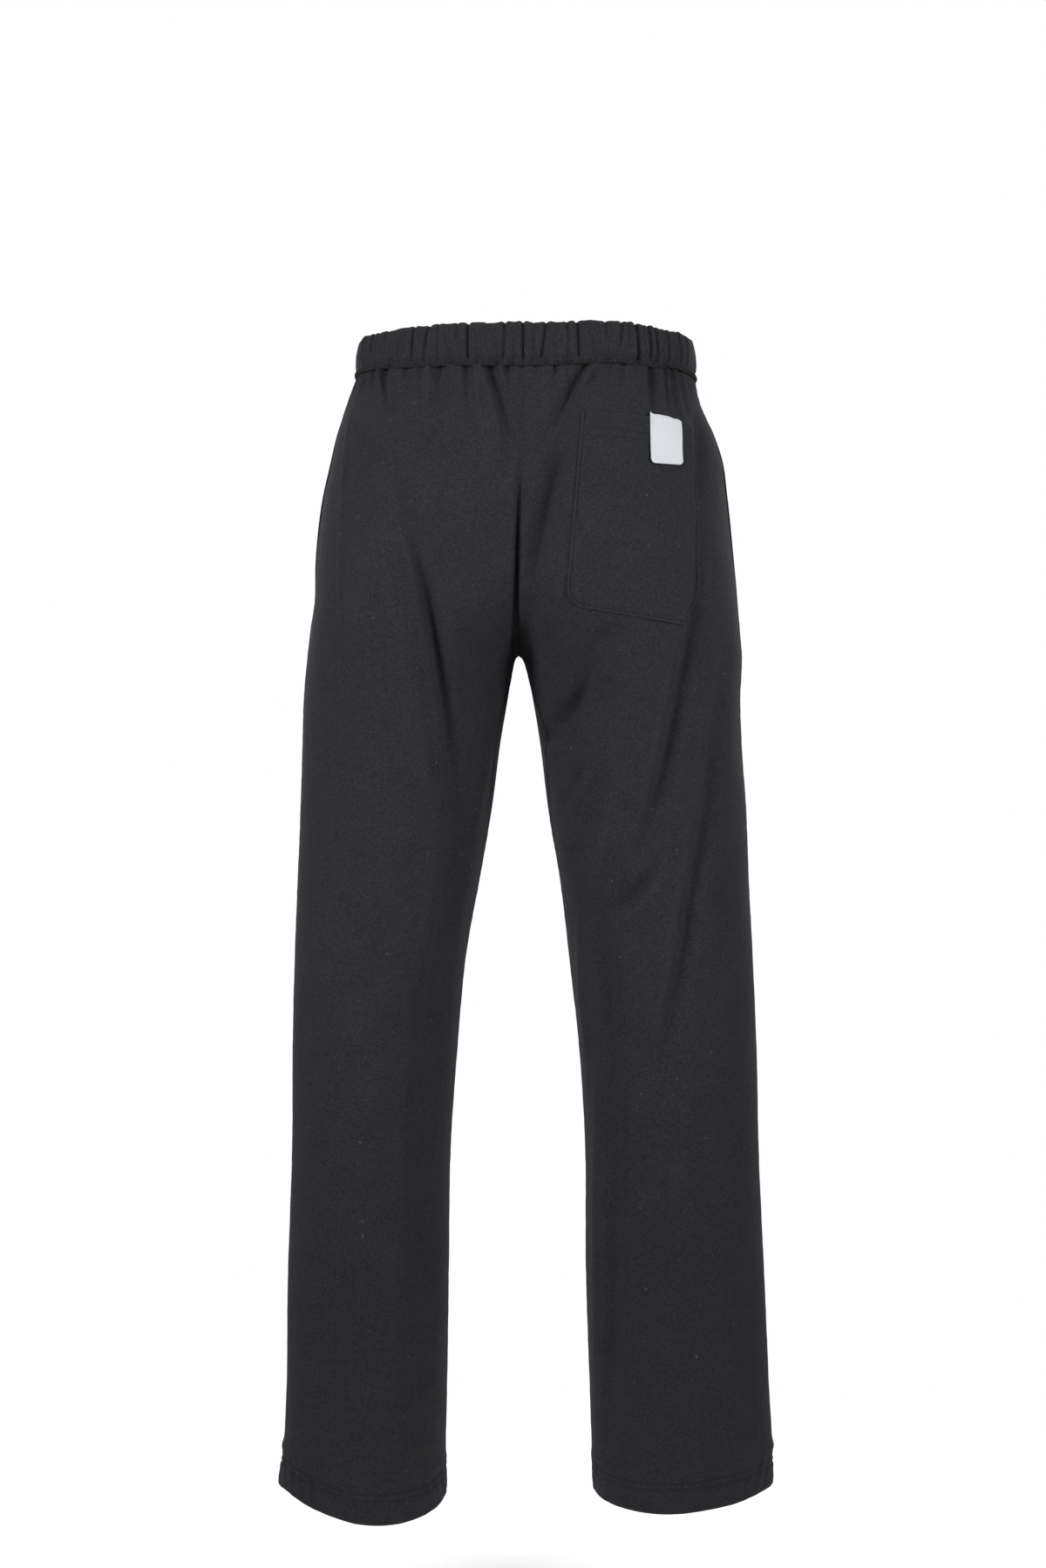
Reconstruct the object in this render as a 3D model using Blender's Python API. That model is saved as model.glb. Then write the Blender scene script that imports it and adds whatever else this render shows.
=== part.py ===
"""Straight-leg sweatpants, hollow and open as they hang from a wearer's waist.

The cloth is four leg panels (a back and a front for each leg), an elastic waistband, a patch
pocket with a folded label on the wearer's right seat, and the facings behind the two side-seam
pockets. The origin is the middle of the waistband. +Z is up, the front faces -Y and the wearer's
left is +X. Sizes are in millimetres and turned into metres by MM.
"""

import math

import bmesh
import bpy
import numpy as np

MM = 0.001

# Driving dimensions
SEAM_GAP = 0.3
CLOTH = 2.0
HEM_CLOTH = 3.6
HEM_DEPTH = 29.0
HEM_STEP = 1.5
BAND_HEIGHT = 37.0
BAND_THICKNESS = 5.5
BAND_BULGE = 1.2
BAND_LEAN = 3.0
WAIST_LEVEL = -BAND_HEIGHT / 2
CROTCH_LEVEL = -258.5
HEM_LEVEL = -990.0
GATHERS_PER_PANEL = 12
GATHER_DEPTH = 3.4
GATHER_LENGTH = 42.0
GATHER_UNEVEN = 20.0
GATHER_DEPTH_UNEVEN = 0.2
GATHER_TURN = 2.4
GATHER_START = {"back_left": 1.0, "back_right": 3.0, "front_left": 3.0, "front_right": 5.0}
RIDGE_SHARE = 0.2
BAND_GATHERS = 60
BAND_GATHER_DEPTH = 2.2
BAND_RIDGE_MEAN = 0.6
BAND_COLUMNS_PER_GATHER = 3
BAND_SECTION_ROWS = 8
SIDES = {"left": 1, "right": -1}

# One row for each horizontal section. outer and inner are the leg's own width, measured from the
# centre seams; inner is 0 down to the crotch. back and front are the depths of the cloth behind
# and before the middle, and each peak says where that depth is reached, as a share of outer,
# the same for both legs, so that they meet at the centre seams.
# Each half of the seat would reach past the centre seam by lobe, which shapes the cleft.
SECTION_COLUMNS = (
    "level", "outer_left", "outer_right", "inner_left", "inner_right", "lobe_back",
    "lobe_front", "peak_back", "peak_front", "back", "front", "fullness",
)
SECTIONS = (
    (-18.5, 147.0, 151.0, 0.0, 0.0, 149.0, 149.0, 0.0, 0.0, 107.0, 105.0, 2.15),
    (-40.0, 155.0, 156.0, 0.0, 0.0, 155.0, 156.0, 0.05, 0.0, 111.0, 107.0, 2.15),
    (-65.0, 163.0, 167.0, 0.0, 0.0, 163.0, 165.0, 0.14, 0.03, 116.5, 109.0, 2.15),
    (-90.0, 168.0, 175.5, 0.0, 0.0, 161.0, 171.0, 0.22, 0.06, 121.5, 110.5, 2.15),
    (-120.0, 173.5, 180.0, 0.0, 0.0, 146.0, 172.0, 0.31, 0.12, 127.0, 112.0, 2.15),
    (-150.0, 177.0, 184.0, 0.0, 0.0, 122.0, 165.0, 0.38, 0.2, 131.5, 113.0, 2.15),
    (-180.0, 178.6, 187.5, 0.0, 0.0, 90.0, 138.0, 0.43, 0.29, 134.0, 113.0, 2.15),
    (-212.0, 179.0, 191.5, 0.0, 0.0, 54.0, 92.0, 0.465, 0.38, 133.0, 112.5, 2.15),
    (-240.0, 182.8, 194.3, 0.0, 0.0, 23.0, 41.0, 0.485, 0.45, 128.0, 112.0, 2.15),
    (-258.5, 185.2, 196.0, 0.0, 0.0, 0.0, 0.0, 0.502, 0.492, 122.5, 111.5, 2.15),
    (-300.0, 189.0, 195.2, 9.8, 13.2, 0.0, 0.0, 0.53, 0.53, 113.0, 110.5, 2.15),
    (-340.0, 189.9, 196.9, 16.5, 19.7, 0.0, 0.0, 0.546, 0.546, 105.5, 108.0, 2.15),
    (-400.0, 192.2, 200.8, 24.5, 27.2, 0.0, 0.0, 0.565, 0.565, 97.5, 102.5, 2.12),
    (-455.0, 194.5, 203.0, 34.4, 36.8, 0.0, 0.0, 0.589, 0.589, 92.0, 97.5, 2.1),
    (-530.0, 197.5, 206.8, 47.3, 45.6, 0.0, 0.0, 0.617, 0.617, 86.5, 91.5, 2.08),
    (-610.0, 199.0, 210.0, 54.5, 54.4, 0.0, 0.0, 0.636, 0.636, 82.5, 85.5, 2.06),
    (-690.0, 199.3, 211.6, 59.8, 59.0, 0.0, 0.0, 0.648, 0.648, 80.0, 79.5, 2.04),
    (-800.0, 203.0, 216.3, 61.7, 59.7, 0.0, 0.0, 0.652, 0.652, 76.0, 73.0, 2.0),
    (-915.0, 204.8, 221.4, 63.5, 63.6, 0.0, 0.0, 0.656, 0.656, 71.0, 68.5, 1.95),
    (-955.0, 207.0, 223.6, 64.3, 65.0, 0.0, 0.0, 0.657, 0.657, 69.0, 67.0, 1.92),
    (-990.0, 211.0, 223.4, 64.0, 66.6, 0.0, 0.0, 0.652, 0.652, 67.0, 65.0, 1.9),
)
CENTRE_AT_WAIST = -0.5
CENTRE_AT_CROTCH = 4.0

# The waist sits higher at the back than at the front.
WAIST_TILT = 4.0
WAIST_TILT_ENDS = -160.0

# The hem drops at the back and rides up on the instep at the front.
HEM_RAMP_TOP = -820.0
HEM_DROP = {"left": 24.0, "right": 14.0}
HEM_DROP_ANGLE = {"left": 112.0, "right": 108.0}
HEM_FRONT_RISE = 9.0
HEM_DROP_SPREAD = 1.4

# Where the seams run round each leg, in degrees from its outermost line towards the back.
SIDE_SEAM_AT_HIP = 7.0
SIDE_SEAM_FADE = (-300.0, -520.0)
INSEAM_SWING = 20.0
INSEAM_SWING_LEVEL = -320.0
INSEAM_SWING_LENGTH = 85.0

# Rows and columns of each panel's mesh
PANEL_COLUMNS = 18
TORSO_ROWS = 13
LEG_ROWS = 17
GATHER_ROWS = 5
ROW_SPREAD = 0.25

# Folds of a face fade out towards the side seam and inseam, between these shares of full depth.
FOLD_FADE = (0.05, 0.5)

# Soft folds. x and z are where the fold's line starts, bends and ends, seen from behind or from
# in front; depth is how far the cloth sinks along it; width is half the trough; roll is how much
# of that depth stands up again beside it, on the side towards +X (negative: towards -X).
FOLD_COLUMNS = ("face", "x0", "z0", "x1", "z1", "x2", "z2", "depth", "width", "roll")
FOLDS = (
    ("back", 96.5, -150.0, 64.5, -250.0, 58.5, -390.0, 9.0, 19.0, 0.45),
    ("back", 66.0, -440.0, 66.0, -510.0, 100.0, -590.0, 5.5, 20.0, 0.3),
    ("back", 29.0, -22.0, 18.0, -54.0, 4.0, -80.0, 4.0, 10.0, 0.3),
    ("back", -60.0, -16.0, -42.0, -48.0, -26.0, -84.0, 4.5, 10.0, -0.35),
    ("back", -36.0, -92.0, -20.0, -140.0, -11.0, -212.0, 4.5, 11.0, 0.3),
    ("back", -78.0, -238.0, -40.0, -275.0, -19.0, -336.0, 7.5, 19.0, -0.35),
    ("back", -147.0, -232.0, -124.0, -341.0, -98.0, -445.0, 8.0, 19.0, -0.3),
    ("back", -171.0, -265.0, -158.0, -374.0, -125.0, -570.0, 7.0, 19.0, -0.3),
    ("back", -112.0, -450.0, -96.0, -474.0, -78.0, -490.0, 4.5, 15.0, 0.4),
    ("front", 24.0, -190.0, 72.0, -222.0, 126.0, -230.0, 8.0, 18.0, 0.3),
    ("front", -24.0, -196.0, -70.0, -236.0, -126.0, -264.0, 8.0, 19.0, -0.3),
    ("front", 34.0, -296.0, 78.0, -336.0, 118.0, -412.0, 7.5, 20.0, 0.3),
    ("front", -30.0, -292.0, -66.0, -322.0, -116.0, -360.0, 7.0, 18.0, -0.3),
    ("front", 88.0, -866.0, 138.0, -886.0, 186.0, -868.0, 6.0, 19.0, 0.3),
    ("front", -90.0, -878.0, -140.0, -896.0, -196.0, -874.0, 5.5, 18.0, -0.3),
    ("front", 96.0, -560.0, 128.0, -584.0, 172.0, -566.0, 4.5, 20.0, 0.2),
)

# The side-seam pockets: the front panel's edge stands off the seam along the mouth.
MOUTH_TOP = -56.0
MOUTH_BOTTOM = -212.0
MOUTH_LIFT = 2.6
MOUTH_LIFT_REACH = 26.0
FACING_TOP = -48.0
FACING_BOTTOM = -222.0
FACING_BEHIND = 9.0
FACING_BEFORE = 26.0
FACING_GAP = 0.9
FACING_COLUMNS = 6
FACING_ROWS = 12
HIP_RADIUS = 110.0

# The patch pocket on the wearer's right seat, as seen from behind. Each corner is the width and
# the height of its curve.
POCKET_MOUTH_INNER = (-49.7, -53.1)
POCKET_MOUTH_OUTER = (-153.6, -60.5)
POCKET_FOOT_INNER = (-35.3, -225.0)
POCKET_FOOT_OUTER = (-151.5, -237.7)
POCKET_CORNER_INNER = (22.0, 20.0)
POCKET_CORNER_OUTER = (18.0, 42.0)
POCKET_LIFT = 0.7
POCKET_COLUMNS = 14
POCKET_ROWS = 9
POCKET_CORNER_ROWS = 5

# The folded label caught in the pocket's mouth
LABEL_TOP_INNER = (-107.2, -53.4)
LABEL_TOP_OUTER = (-136.7, -58.6)
LABEL_FOOT = -100.8
LABEL_CLOTH = 1.0
LABEL_LIFT = 0.35
LABEL_CORNER = 4.0
LABEL_COLUMNS = 8
LABEL_ROWS = 6


def named(columns, row):
    return dict(zip(columns, row))


def curve_through(levels, values):
    """A smooth curve through the rows of a table: cubic pieces that share their slopes."""
    order = np.argsort(levels)
    levels = np.asarray(levels, float)[order]
    values = np.asarray(values, float)[order]
    slopes = np.gradient(values, levels)

    def at(level):
        level = np.clip(level, levels[0], levels[-1])
        i = np.clip(np.searchsorted(levels, level) - 1, 0, len(levels) - 2)
        span = levels[i + 1] - levels[i]
        t = (level - levels[i]) / span
        ease = t * t * (3 - 2 * t)
        lead = t * (1 - t) ** 2
        trail = t * t * (t - 1)
        ends = values[i] * (1 - ease) + values[i + 1] * ease
        return ends + span * (slopes[i] * lead + slopes[i + 1] * trail)

    return at


def section_curves():
    """A curve for each column of the section table.

    The gap between the legs opens like an arch, so the inner columns are joined as squares.
    """
    rows = [named(SECTION_COLUMNS, row) for row in SECTIONS]
    curves = {}
    for column in SECTION_COLUMNS[1:]:
        used = rows
        if column.startswith("inner"):
            used = [row for row in rows if row["level"] <= CROTCH_LEVEL]
        if column.startswith("lobe"):
            used = [row for row in rows if row["level"] >= CROTCH_LEVEL]
        power = 2 if column.startswith("inner") else 1
        levels = [row["level"] for row in used]
        curves[column] = curve_through(levels, [row[column] ** power for row in used])
    return curves


SIZE = section_curves()


def ramp(value, start, end):
    """0 at start, 1 at end, and a smooth step between them."""
    t = np.clip((value - start) / (end - start), 0, 1)
    return t * t * (3 - 2 * t)


def centre_line(level):
    """Where the centre seams stand, as the garment leans a little to the wearer's left."""
    share = ramp(level, WAIST_LEVEL, CROTCH_LEVEL)
    return CENTRE_AT_WAIST + (CENTRE_AT_CROTCH - CENTRE_AT_WAIST) * share


def half_section(side, face, level):
    """The middle of one leg's oval on its back or front face, and its outer and inner reach."""
    outer = SIZE[f"outer_{side}"](level)
    mean_outer = (SIZE["outer_left"](level) + SIZE["outer_right"](level)) / 2
    middle = SIZE[f"peak_{face}"](level) * mean_outer
    below = np.sqrt(np.maximum(SIZE[f"inner_{side}"](level), 0))
    above = -np.maximum(SIZE[f"lobe_{face}"](level), 0)
    inner = np.where(level <= CROTCH_LEVEL, below, above)
    return middle, outer - middle, middle - inner


def signed_power(value, power):
    return np.sign(value) * np.abs(value) ** power


def bare_point(side, angle, level):
    """A point of the garment's outer face before folds.

    angle runs round the leg in radians: 0 on its outermost line, a half turn at its innermost,
    positive over the back.
    """
    across, round_back = np.cos(angle), np.sin(angle)
    behind = round_back >= 0
    from_back = half_section(side, "back", level)
    from_front = half_section(side, "front", level)
    middle = np.where(behind, from_back[0], from_front[0])
    outwards = np.where(behind, from_back[1], from_front[1])
    inwards = np.where(behind, from_back[2], from_front[2])
    half = np.where(across >= 0, outwards, inwards)
    power = 2 / SIZE["fullness"](level)
    back, front = SIZE["back"](level), SIZE["front"](level)
    depth = (back + front) / 2
    x = SIDES[side] * (middle + half * signed_power(across, power)) + centre_line(level)
    y = (back - front) / 2 + depth * signed_power(round_back, power)
    at_hem = ramp(level, HEM_RAMP_TOP, HEM_LEVEL)
    lowest = math.radians(HEM_DROP_ANGLE[side])
    drop = HEM_DROP[side] * np.maximum(np.cos(angle - lowest), 0) ** HEM_DROP_SPREAD
    rise = HEM_FRONT_RISE * np.maximum(-round_back, 0) ** HEM_DROP_SPREAD
    z = level + at_hem * (rise - drop)
    return np.stack(np.broadcast_arrays(x, y, z), axis=-1)


def outward(side, angle, level):
    """The outward direction of the cloth, from its slopes round the leg and down it."""
    turn, step = 0.02, 3.0  # radians and millimetres
    round_it = bare_point(side, angle + turn, level) - bare_point(side, angle - turn, level)
    down_it = bare_point(side, angle, level - step) - bare_point(side, angle, level + step)
    normal = np.cross(down_it, round_it) * SIDES[side]
    length = np.linalg.norm(normal, axis=-1, keepdims=True)
    return normal / np.maximum(length, 1e-9)


def fold_height(face, x, z):
    """How far the folds of one face move the cloth out (up) or in (down)."""
    height = np.zeros_like(x)
    for row in FOLDS:
        fold = named(FOLD_COLUMNS, row)
        if fold["face"] != face:
            continue
        along = np.linspace(0, 1, 61)
        line_x = (1 - along) ** 2 * fold["x0"] + 2 * along * (1 - along) * fold["x1"]
        line_x += along**2 * fold["x2"]
        line_z = (1 - along) ** 2 * fold["z0"] + 2 * along * (1 - along) * fold["z1"]
        line_z += along**2 * fold["z2"]
        apart_x = x[..., None] - line_x
        apart_z = z[..., None] - line_z
        nearest = np.argmin(apart_x**2 + apart_z**2, axis=-1)[..., None]
        apart_x = np.take_along_axis(apart_x, nearest, -1)[..., 0]
        apart_z = np.take_along_axis(apart_z, nearest, -1)[..., 0]
        t = along[nearest[..., 0]]
        slope_x = np.gradient(line_x, along)[nearest[..., 0]]
        slope_z = np.gradient(line_z, along)[nearest[..., 0]]
        length = np.hypot(slope_x, slope_z)
        aside = (apart_z * slope_x - apart_x * slope_z) / length / fold["width"]
        taper = np.sin(math.pi * t) ** 0.8
        trough = np.exp(-(aside**2))
        beside = np.exp(-((aside - 1.7 * np.sign(fold["roll"])) ** 2))
        height += fold["depth"] * taper * (abs(fold["roll"]) * beside - trough)
    return height


def gather_fade(level, uneven):
    """1 at the waistband, and less and less down the panel; uneven is -1 to 1."""
    length = GATHER_LENGTH + GATHER_UNEVEN * uneven
    return np.exp(-(((WAIST_LEVEL - level) / length) ** 2))


def gather_height(side, face, across, level):
    """The gathers under the waistband: sharp valleys, round ridges, uneven lengths."""
    place = GATHERS_PER_PANEL * across
    number = np.floor(place + 1e-6)
    uneven = np.sin(number * GATHER_TURN + GATHER_START[f"{face}_{side}"])
    depth = GATHER_DEPTH * (1 - GATHER_DEPTH_UNEVEN * (1 - uneven))
    ridge = np.abs(np.sin(math.pi * place)) - 1 + RIDGE_SHARE
    return depth * gather_fade(level, uneven) * ridge


def mouth_height(face, angle, level, seam):
    """The front panel's pocket edge stands a little off the side seam."""
    if face == "back":
        return 0.0
    away = np.abs(angle - seam) * HIP_RADIUS
    near = np.exp(-((away / MOUTH_LIFT_REACH) ** 2))
    middle, half = (MOUTH_TOP + MOUTH_BOTTOM) / 2, (MOUTH_TOP - MOUTH_BOTTOM) / 2
    along = np.clip(1 - ((level - middle) / half) ** 2, 0, 1)
    return MOUTH_LIFT * near * np.sqrt(along)


def side_seam(level):
    """The side seam's angle: a little behind the hip's outermost line, on it at the knee."""
    return math.radians(SIDE_SEAM_AT_HIP) * (1 - ramp(level, *SIDE_SEAM_FADE))


def inner_seam(side, face, level):
    """The angle where a panel ends: at the centre seam above the crotch, at the inseam below."""
    middle, _, inwards = half_section(side, face, level)
    share = np.clip(middle / inwards, 0, 1) ** (SIZE["fullness"](level) / 2)
    at_centre = math.pi - np.arccos(share)
    away = (level - INSEAM_SWING_LEVEL) / INSEAM_SWING_LENGTH
    swing = math.radians(INSEAM_SWING) * np.exp(-(away**2)) * ramp(
        level, CROTCH_LEVEL, INSEAM_SWING_LEVEL
    )
    at_inseam = math.pi - swing if face == "back" else math.pi + swing
    end = np.where(level > CROTCH_LEVEL, at_centre, at_inseam)
    return end if face == "back" else -end


def panel_angle(side, face, across, level):
    """across is 0 at the side seam and 1 at the centre seam or inseam."""
    start, end = side_seam(level), inner_seam(side, face, level)
    return start + (end - start) * across


def cloth_point(side, angle, level, lift, face=None, across=None):
    """A point that stands off the outer face by lift; with its panel's gathers, if one is named."""
    place = bare_point(side, angle, level)
    normal = outward(side, angle, level)
    round_back = np.sin(angle)
    height = np.where(
        round_back >= 0,
        fold_height("back", place[..., 0], place[..., 2]) * ramp(round_back, *FOLD_FADE),
        fold_height("front", place[..., 0], place[..., 2]) * ramp(-round_back, *FOLD_FADE),
    )
    if face:
        height = height + gather_height(side, face, across, level)
        height = height + mouth_height(face, angle, level, side_seam(level))
    return place + normal * (height + lift)[..., None]


def row_levels():
    """Levels of a panel's rows: close together at the waist, the crotch and the hem."""
    top = WAIST_LEVEL - SEAM_GAP / 2
    levels = []
    for row in range(TORSO_ROWS + 1):
        share = (1 + math.cos(math.pi * row / TORSO_ROWS)) / 2
        levels.append(CROTCH_LEVEL + (top - CROTCH_LEVEL) * share)
    fold_line = HEM_LEVEL + HEM_DEPTH
    for row in range(1, LEG_ROWS + 1):
        step = row / LEG_ROWS
        share = step**2 / (step + ROW_SPREAD) * (1 + ROW_SPREAD)
        levels.append(CROTCH_LEVEL + (fold_line - CROTCH_LEVEL) * share)
    return levels + [fold_line - HEM_STEP, HEM_LEVEL]


def sheet_mesh(columns, rows, refine=None):
    """A unit grid with a second layer and the rim between them.

    Each vertex still holds its place on the unit grid: x across, y down, z the layer.
    """
    bm = bmesh.new()
    bmesh.ops.create_grid(bm, x_segments=columns, y_segments=rows, size=0.5)
    for vertex in bm.verts:
        vertex.co.x += 0.5
        vertex.co.y = 0.5 - vertex.co.y
    if refine:
        refine(bm)
    made = bmesh.ops.extrude_face_region(bm, geom=bm.faces[:], use_keep_orig=True)
    for item in made["geom"]:
        if isinstance(item, bmesh.types.BMVert):
            item.co.z = 1.0
    return bm


def finish_piece(bm, name, points, colour, roughness):
    """Puts the vertices in place and makes the named object with its material."""
    points = np.array(points)
    tilted = ramp(points[:, 2], WAIST_TILT_ENDS, WAIST_LEVEL)
    points[:, 2] += WAIST_TILT * tilted * points[:, 1] / SIZE["back"](WAIST_LEVEL)
    for vertex, point in zip(bm.verts, points):
        vertex.co = point * MM
    bmesh.ops.recalc_face_normals(bm, faces=bm.faces[:])
    mesh = bpy.data.meshes.new(name)
    bm.to_mesh(mesh)
    bm.free()
    mesh.shade_smooth()
    mesh.set_sharp_from_angle(angle=math.radians(50))
    piece = bpy.data.objects.new(name, mesh)
    bpy.context.scene.collection.objects.link(piece)
    material = bpy.data.materials.new(name)
    material.use_nodes = True
    shader = material.node_tree.nodes["Principled BSDF"]
    shader.inputs["Base Color"].default_value = (*colour, 1.0)
    shader.inputs["Roughness"].default_value = roughness
    shader.inputs["Metallic"].default_value = 0.0
    mesh.materials.append(material)
    return piece


BLACK_FLEECE = (0.032, 0.032, 0.034)
WHITE_TAPE = (0.78, 0.8, 0.82)


def grid_places(bm):
    places = np.array([vertex.co for vertex in bm.verts])
    return places[:, 0], places[:, 1], places[:, 2]


def make_panel(side, face):
    """One leg panel, from the waistband to the hem, with its turned-up hem as a thicker wall."""
    levels = row_levels()

    def more_columns_at_the_waist(bm):
        lowest = (GATHER_ROWS + 0.5) / (len(levels) - 1)
        level_edges = [
            edge
            for edge in bm.edges
            if abs(edge.verts[0].co.y - edge.verts[1].co.y) < 1e-6
            and edge.verts[0].co.y < lowest
        ]
        bmesh.ops.subdivide_edges(bm, edges=level_edges, cuts=2, use_grid_fill=True)

    bm = sheet_mesh(PANEL_COLUMNS, len(levels) - 1, more_columns_at_the_waist)
    across, down, layer = grid_places(bm)
    level = np.interp(down * (len(levels) - 1), range(len(levels)), levels)
    end = np.abs(inner_seam(side, face, level))
    reach = end * half_section(side, face, level)[2]
    inset = SEAM_GAP / 2 / np.maximum(reach, 1)
    pulled = inset + (1 - 2 * inset) * across
    angle = panel_angle(side, face, pulled, level)
    wall = np.where(level < HEM_LEVEL + HEM_DEPTH - HEM_STEP / 2, HEM_CLOTH, CLOTH)
    points = cloth_point(side, angle, level, -wall * layer, face, across)
    hold_flat = level > WAIST_LEVEL - 1
    points[hold_flat, 2] = level[hold_flat]
    from_centre = SIDES[side] * (points[:, 0] - centre_line(level))
    short = np.maximum(SEAM_GAP / 2 - from_centre, 0) * (level > CROTCH_LEVEL - 1)
    points[:, 0] += SIDES[side] * short
    finish_piece(bm, f"{face}_panel_{side}", points, BLACK_FLEECE, 0.9)


def make_waistband():
    """The elastic waistband: a closed ring, gathered, rolled at its top edge.

    It is a grid whose columns go round the waist and whose rows go round the ring's section:
    the flat bottom edge, up the outside, over the roll and down the inside.
    """
    bm = bmesh.new()
    columns = BAND_GATHERS * BAND_COLUMNS_PER_GATHER
    bmesh.ops.create_grid(bm, x_segments=columns, y_segments=BAND_SECTION_ROWS, size=0.5)
    places = np.array([vertex.co for vertex in bm.verts])
    round_it, section = places[:, 0] + 0.5, places[:, 1] + 0.5
    left = round_it < 0.5
    share = np.where(left, round_it, 1 - round_it) * 2
    angle = math.pi / 2 - share * math.pi
    waist = np.full_like(angle, WAIST_LEVEL)
    at = {}
    for side in SIDES:
        normal = outward(side, angle, waist)
        normal[:, 2] = 0
        normal /= np.linalg.norm(normal, axis=-1, keepdims=True)
        at[side] = (bare_point(side, angle, waist), normal)
    place = np.where(left[:, None], at["left"][0], at["right"][0])
    normal = np.where(left[:, None], at["left"][1], at["right"][1])
    ridge = np.abs(np.sin(math.pi * BAND_GATHERS * round_it))
    turn = section * 2 * math.pi
    high = -np.cos(turn)
    outside = np.sin(turn)
    lowest, tallest = WAIST_LEVEL + SEAM_GAP / 2, -WAIST_LEVEL
    z = np.where(high < -0.5, lowest, lowest + (tallest - lowest) * (high + 0.5) / 1.5)
    risen = np.clip((z - lowest) / (tallest - lowest), 0, 1)
    bulge = BAND_BULGE * np.sin(math.pi * risen) - BAND_LEAN * risen
    out = np.where(outside > 0, 0.0, -BAND_THICKNESS) + bulge
    out = np.where(np.abs(outside) < 0.01, -BAND_THICKNESS / 2 + bulge, out)
    middle_height = np.clip(1 - (2 * z / BAND_HEIGHT) ** 4, 0.25, 1)
    gathered = BAND_GATHER_DEPTH * (ridge - BAND_RIDGE_MEAN) * middle_height
    out += np.where(outside > 0.01, gathered, 0)
    points = place + normal * out[:, None]
    points[:, 2] = z
    for vertex, point in zip(bm.verts, points):
        vertex.co = point
    bmesh.ops.remove_doubles(bm, verts=bm.verts[:], dist=0.02)
    finish_piece(bm, "waistband", [np.array(v.co) for v in bm.verts], BLACK_FLEECE, 0.9)


def make_facing(side):
    """The strip of cloth behind a side-seam pocket's mouth, on the inner side of both panels."""
    bm = sheet_mesh(FACING_COLUMNS, FACING_ROWS)
    across, down, layer = grid_places(bm)
    level = FACING_TOP + (FACING_BOTTOM - FACING_TOP) * down
    width = FACING_BEHIND + FACING_BEFORE
    angle = side_seam(level) + (FACING_BEHIND - width * across) / HIP_RADIUS
    under = CLOTH + FACING_GAP + GATHER_DEPTH * gather_fade(level, 1)
    points = cloth_point(side, angle, level, -under - CLOTH * layer)
    finish_piece(bm, f"pocket_facing_{side}", points, BLACK_FLEECE, 0.9)


def seat_angle(x, level):
    """The angle on the wearer's right seat that shows at x from behind."""
    middle, outwards, inwards = half_section("right", "back", level)
    beside = -(x - centre_line(level)) - middle
    share = beside / np.where(beside > 0, outwards, inwards)
    return np.arccos(np.clip(signed_power(share, SIZE["fullness"](level) / 2), -1, 1))


def on_seat(x, z, lift):
    """A point on the wearer's right seat, seen from behind at x and z, moved out by lift."""
    ridges = RIDGE_SHARE * GATHER_DEPTH * gather_fade(z, 0)
    return cloth_point("right", seat_angle(x, z), z, lift + ridges)


def pocket_place(across, down):
    """x and z of the pocket's outline grid: across from its inner to its outer edge."""
    corner_rows = POCKET_CORNER_ROWS / (POCKET_ROWS + POCKET_CORNER_ROWS)
    plain = np.clip(down / (1 - corner_rows), 0, 1)
    turned = np.clip((down - 1 + corner_rows) / corner_rows, 0, 1) * math.pi / 2

    def edge(mouth, foot, corner, inwards):
        straight = 1 - corner[1] / (mouth[1] - foot[1])
        fallen = plain * straight + (1 - straight) * np.sin(turned)
        x = mouth[0] + (foot[0] - mouth[0]) * fallen + inwards * corner[0] * (1 - np.cos(turned))
        return x, mouth[1] + (foot[1] - mouth[1]) * fallen

    inner_x, inner_z = edge(POCKET_MOUTH_INNER, POCKET_FOOT_INNER, POCKET_CORNER_INNER, -1)
    outer_x, outer_z = edge(POCKET_MOUTH_OUTER, POCKET_FOOT_OUTER, POCKET_CORNER_OUTER, 1)
    return inner_x + (outer_x - inner_x) * across, inner_z + (outer_z - inner_z) * across


def make_back_pocket():
    """The patch pocket, made from the seat's points and moved out."""
    bm = sheet_mesh(POCKET_COLUMNS, POCKET_ROWS + POCKET_CORNER_ROWS)
    across, down, layer = grid_places(bm)
    x, z = pocket_place(across, down)
    lift = POCKET_LIFT + CLOTH * (1 - layer)
    finish_piece(bm, "back_pocket", on_seat(x, z, lift), BLACK_FLEECE, 0.9)


def make_label():
    """The folded label over the pocket's mouth."""
    bm = sheet_mesh(LABEL_COLUMNS, LABEL_ROWS)
    across, down, layer = grid_places(bm)
    (inner_x, inner_z), (outer_x, outer_z) = LABEL_TOP_INNER, LABEL_TOP_OUTER
    x = inner_x + (outer_x - inner_x) * across
    near = np.minimum(across, 1 - across) * abs(outer_x - inner_x) / LABEL_CORNER
    corner = LABEL_CORNER * (1 - np.sqrt(1 - np.clip(1 - near, 0, 1) ** 2))
    top = inner_z + (outer_z - inner_z) * across
    z = top + (LABEL_FOOT + corner - top) * down
    lift = POCKET_LIFT + CLOTH + LABEL_LIFT + LABEL_CLOTH * (1 - layer)
    finish_piece(bm, "pocket_label", on_seat(x, z, lift), WHITE_TAPE, 0.6)


def main():
    for old in list(bpy.data.objects):
        bpy.data.objects.remove(old)
    for side in SIDES:
        for face in ("back", "front"):
            make_panel(side, face)
        make_facing(side)
    make_waistband()
    make_back_pocket()
    make_label()


main()
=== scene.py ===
# %% [markdown]
# # Black sweatpants, worn and hollow
# This lesson dresses a plain solid model of a pair of sweatpants until it looks like the real
# garment: brushed black knit that hangs from a gathered waistband in long soft folds. They stay
# in the file, hidden, and each one is replaced by a finer piece of cloth that lies on the
# same form.

# %% Load the frame
import math

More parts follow.
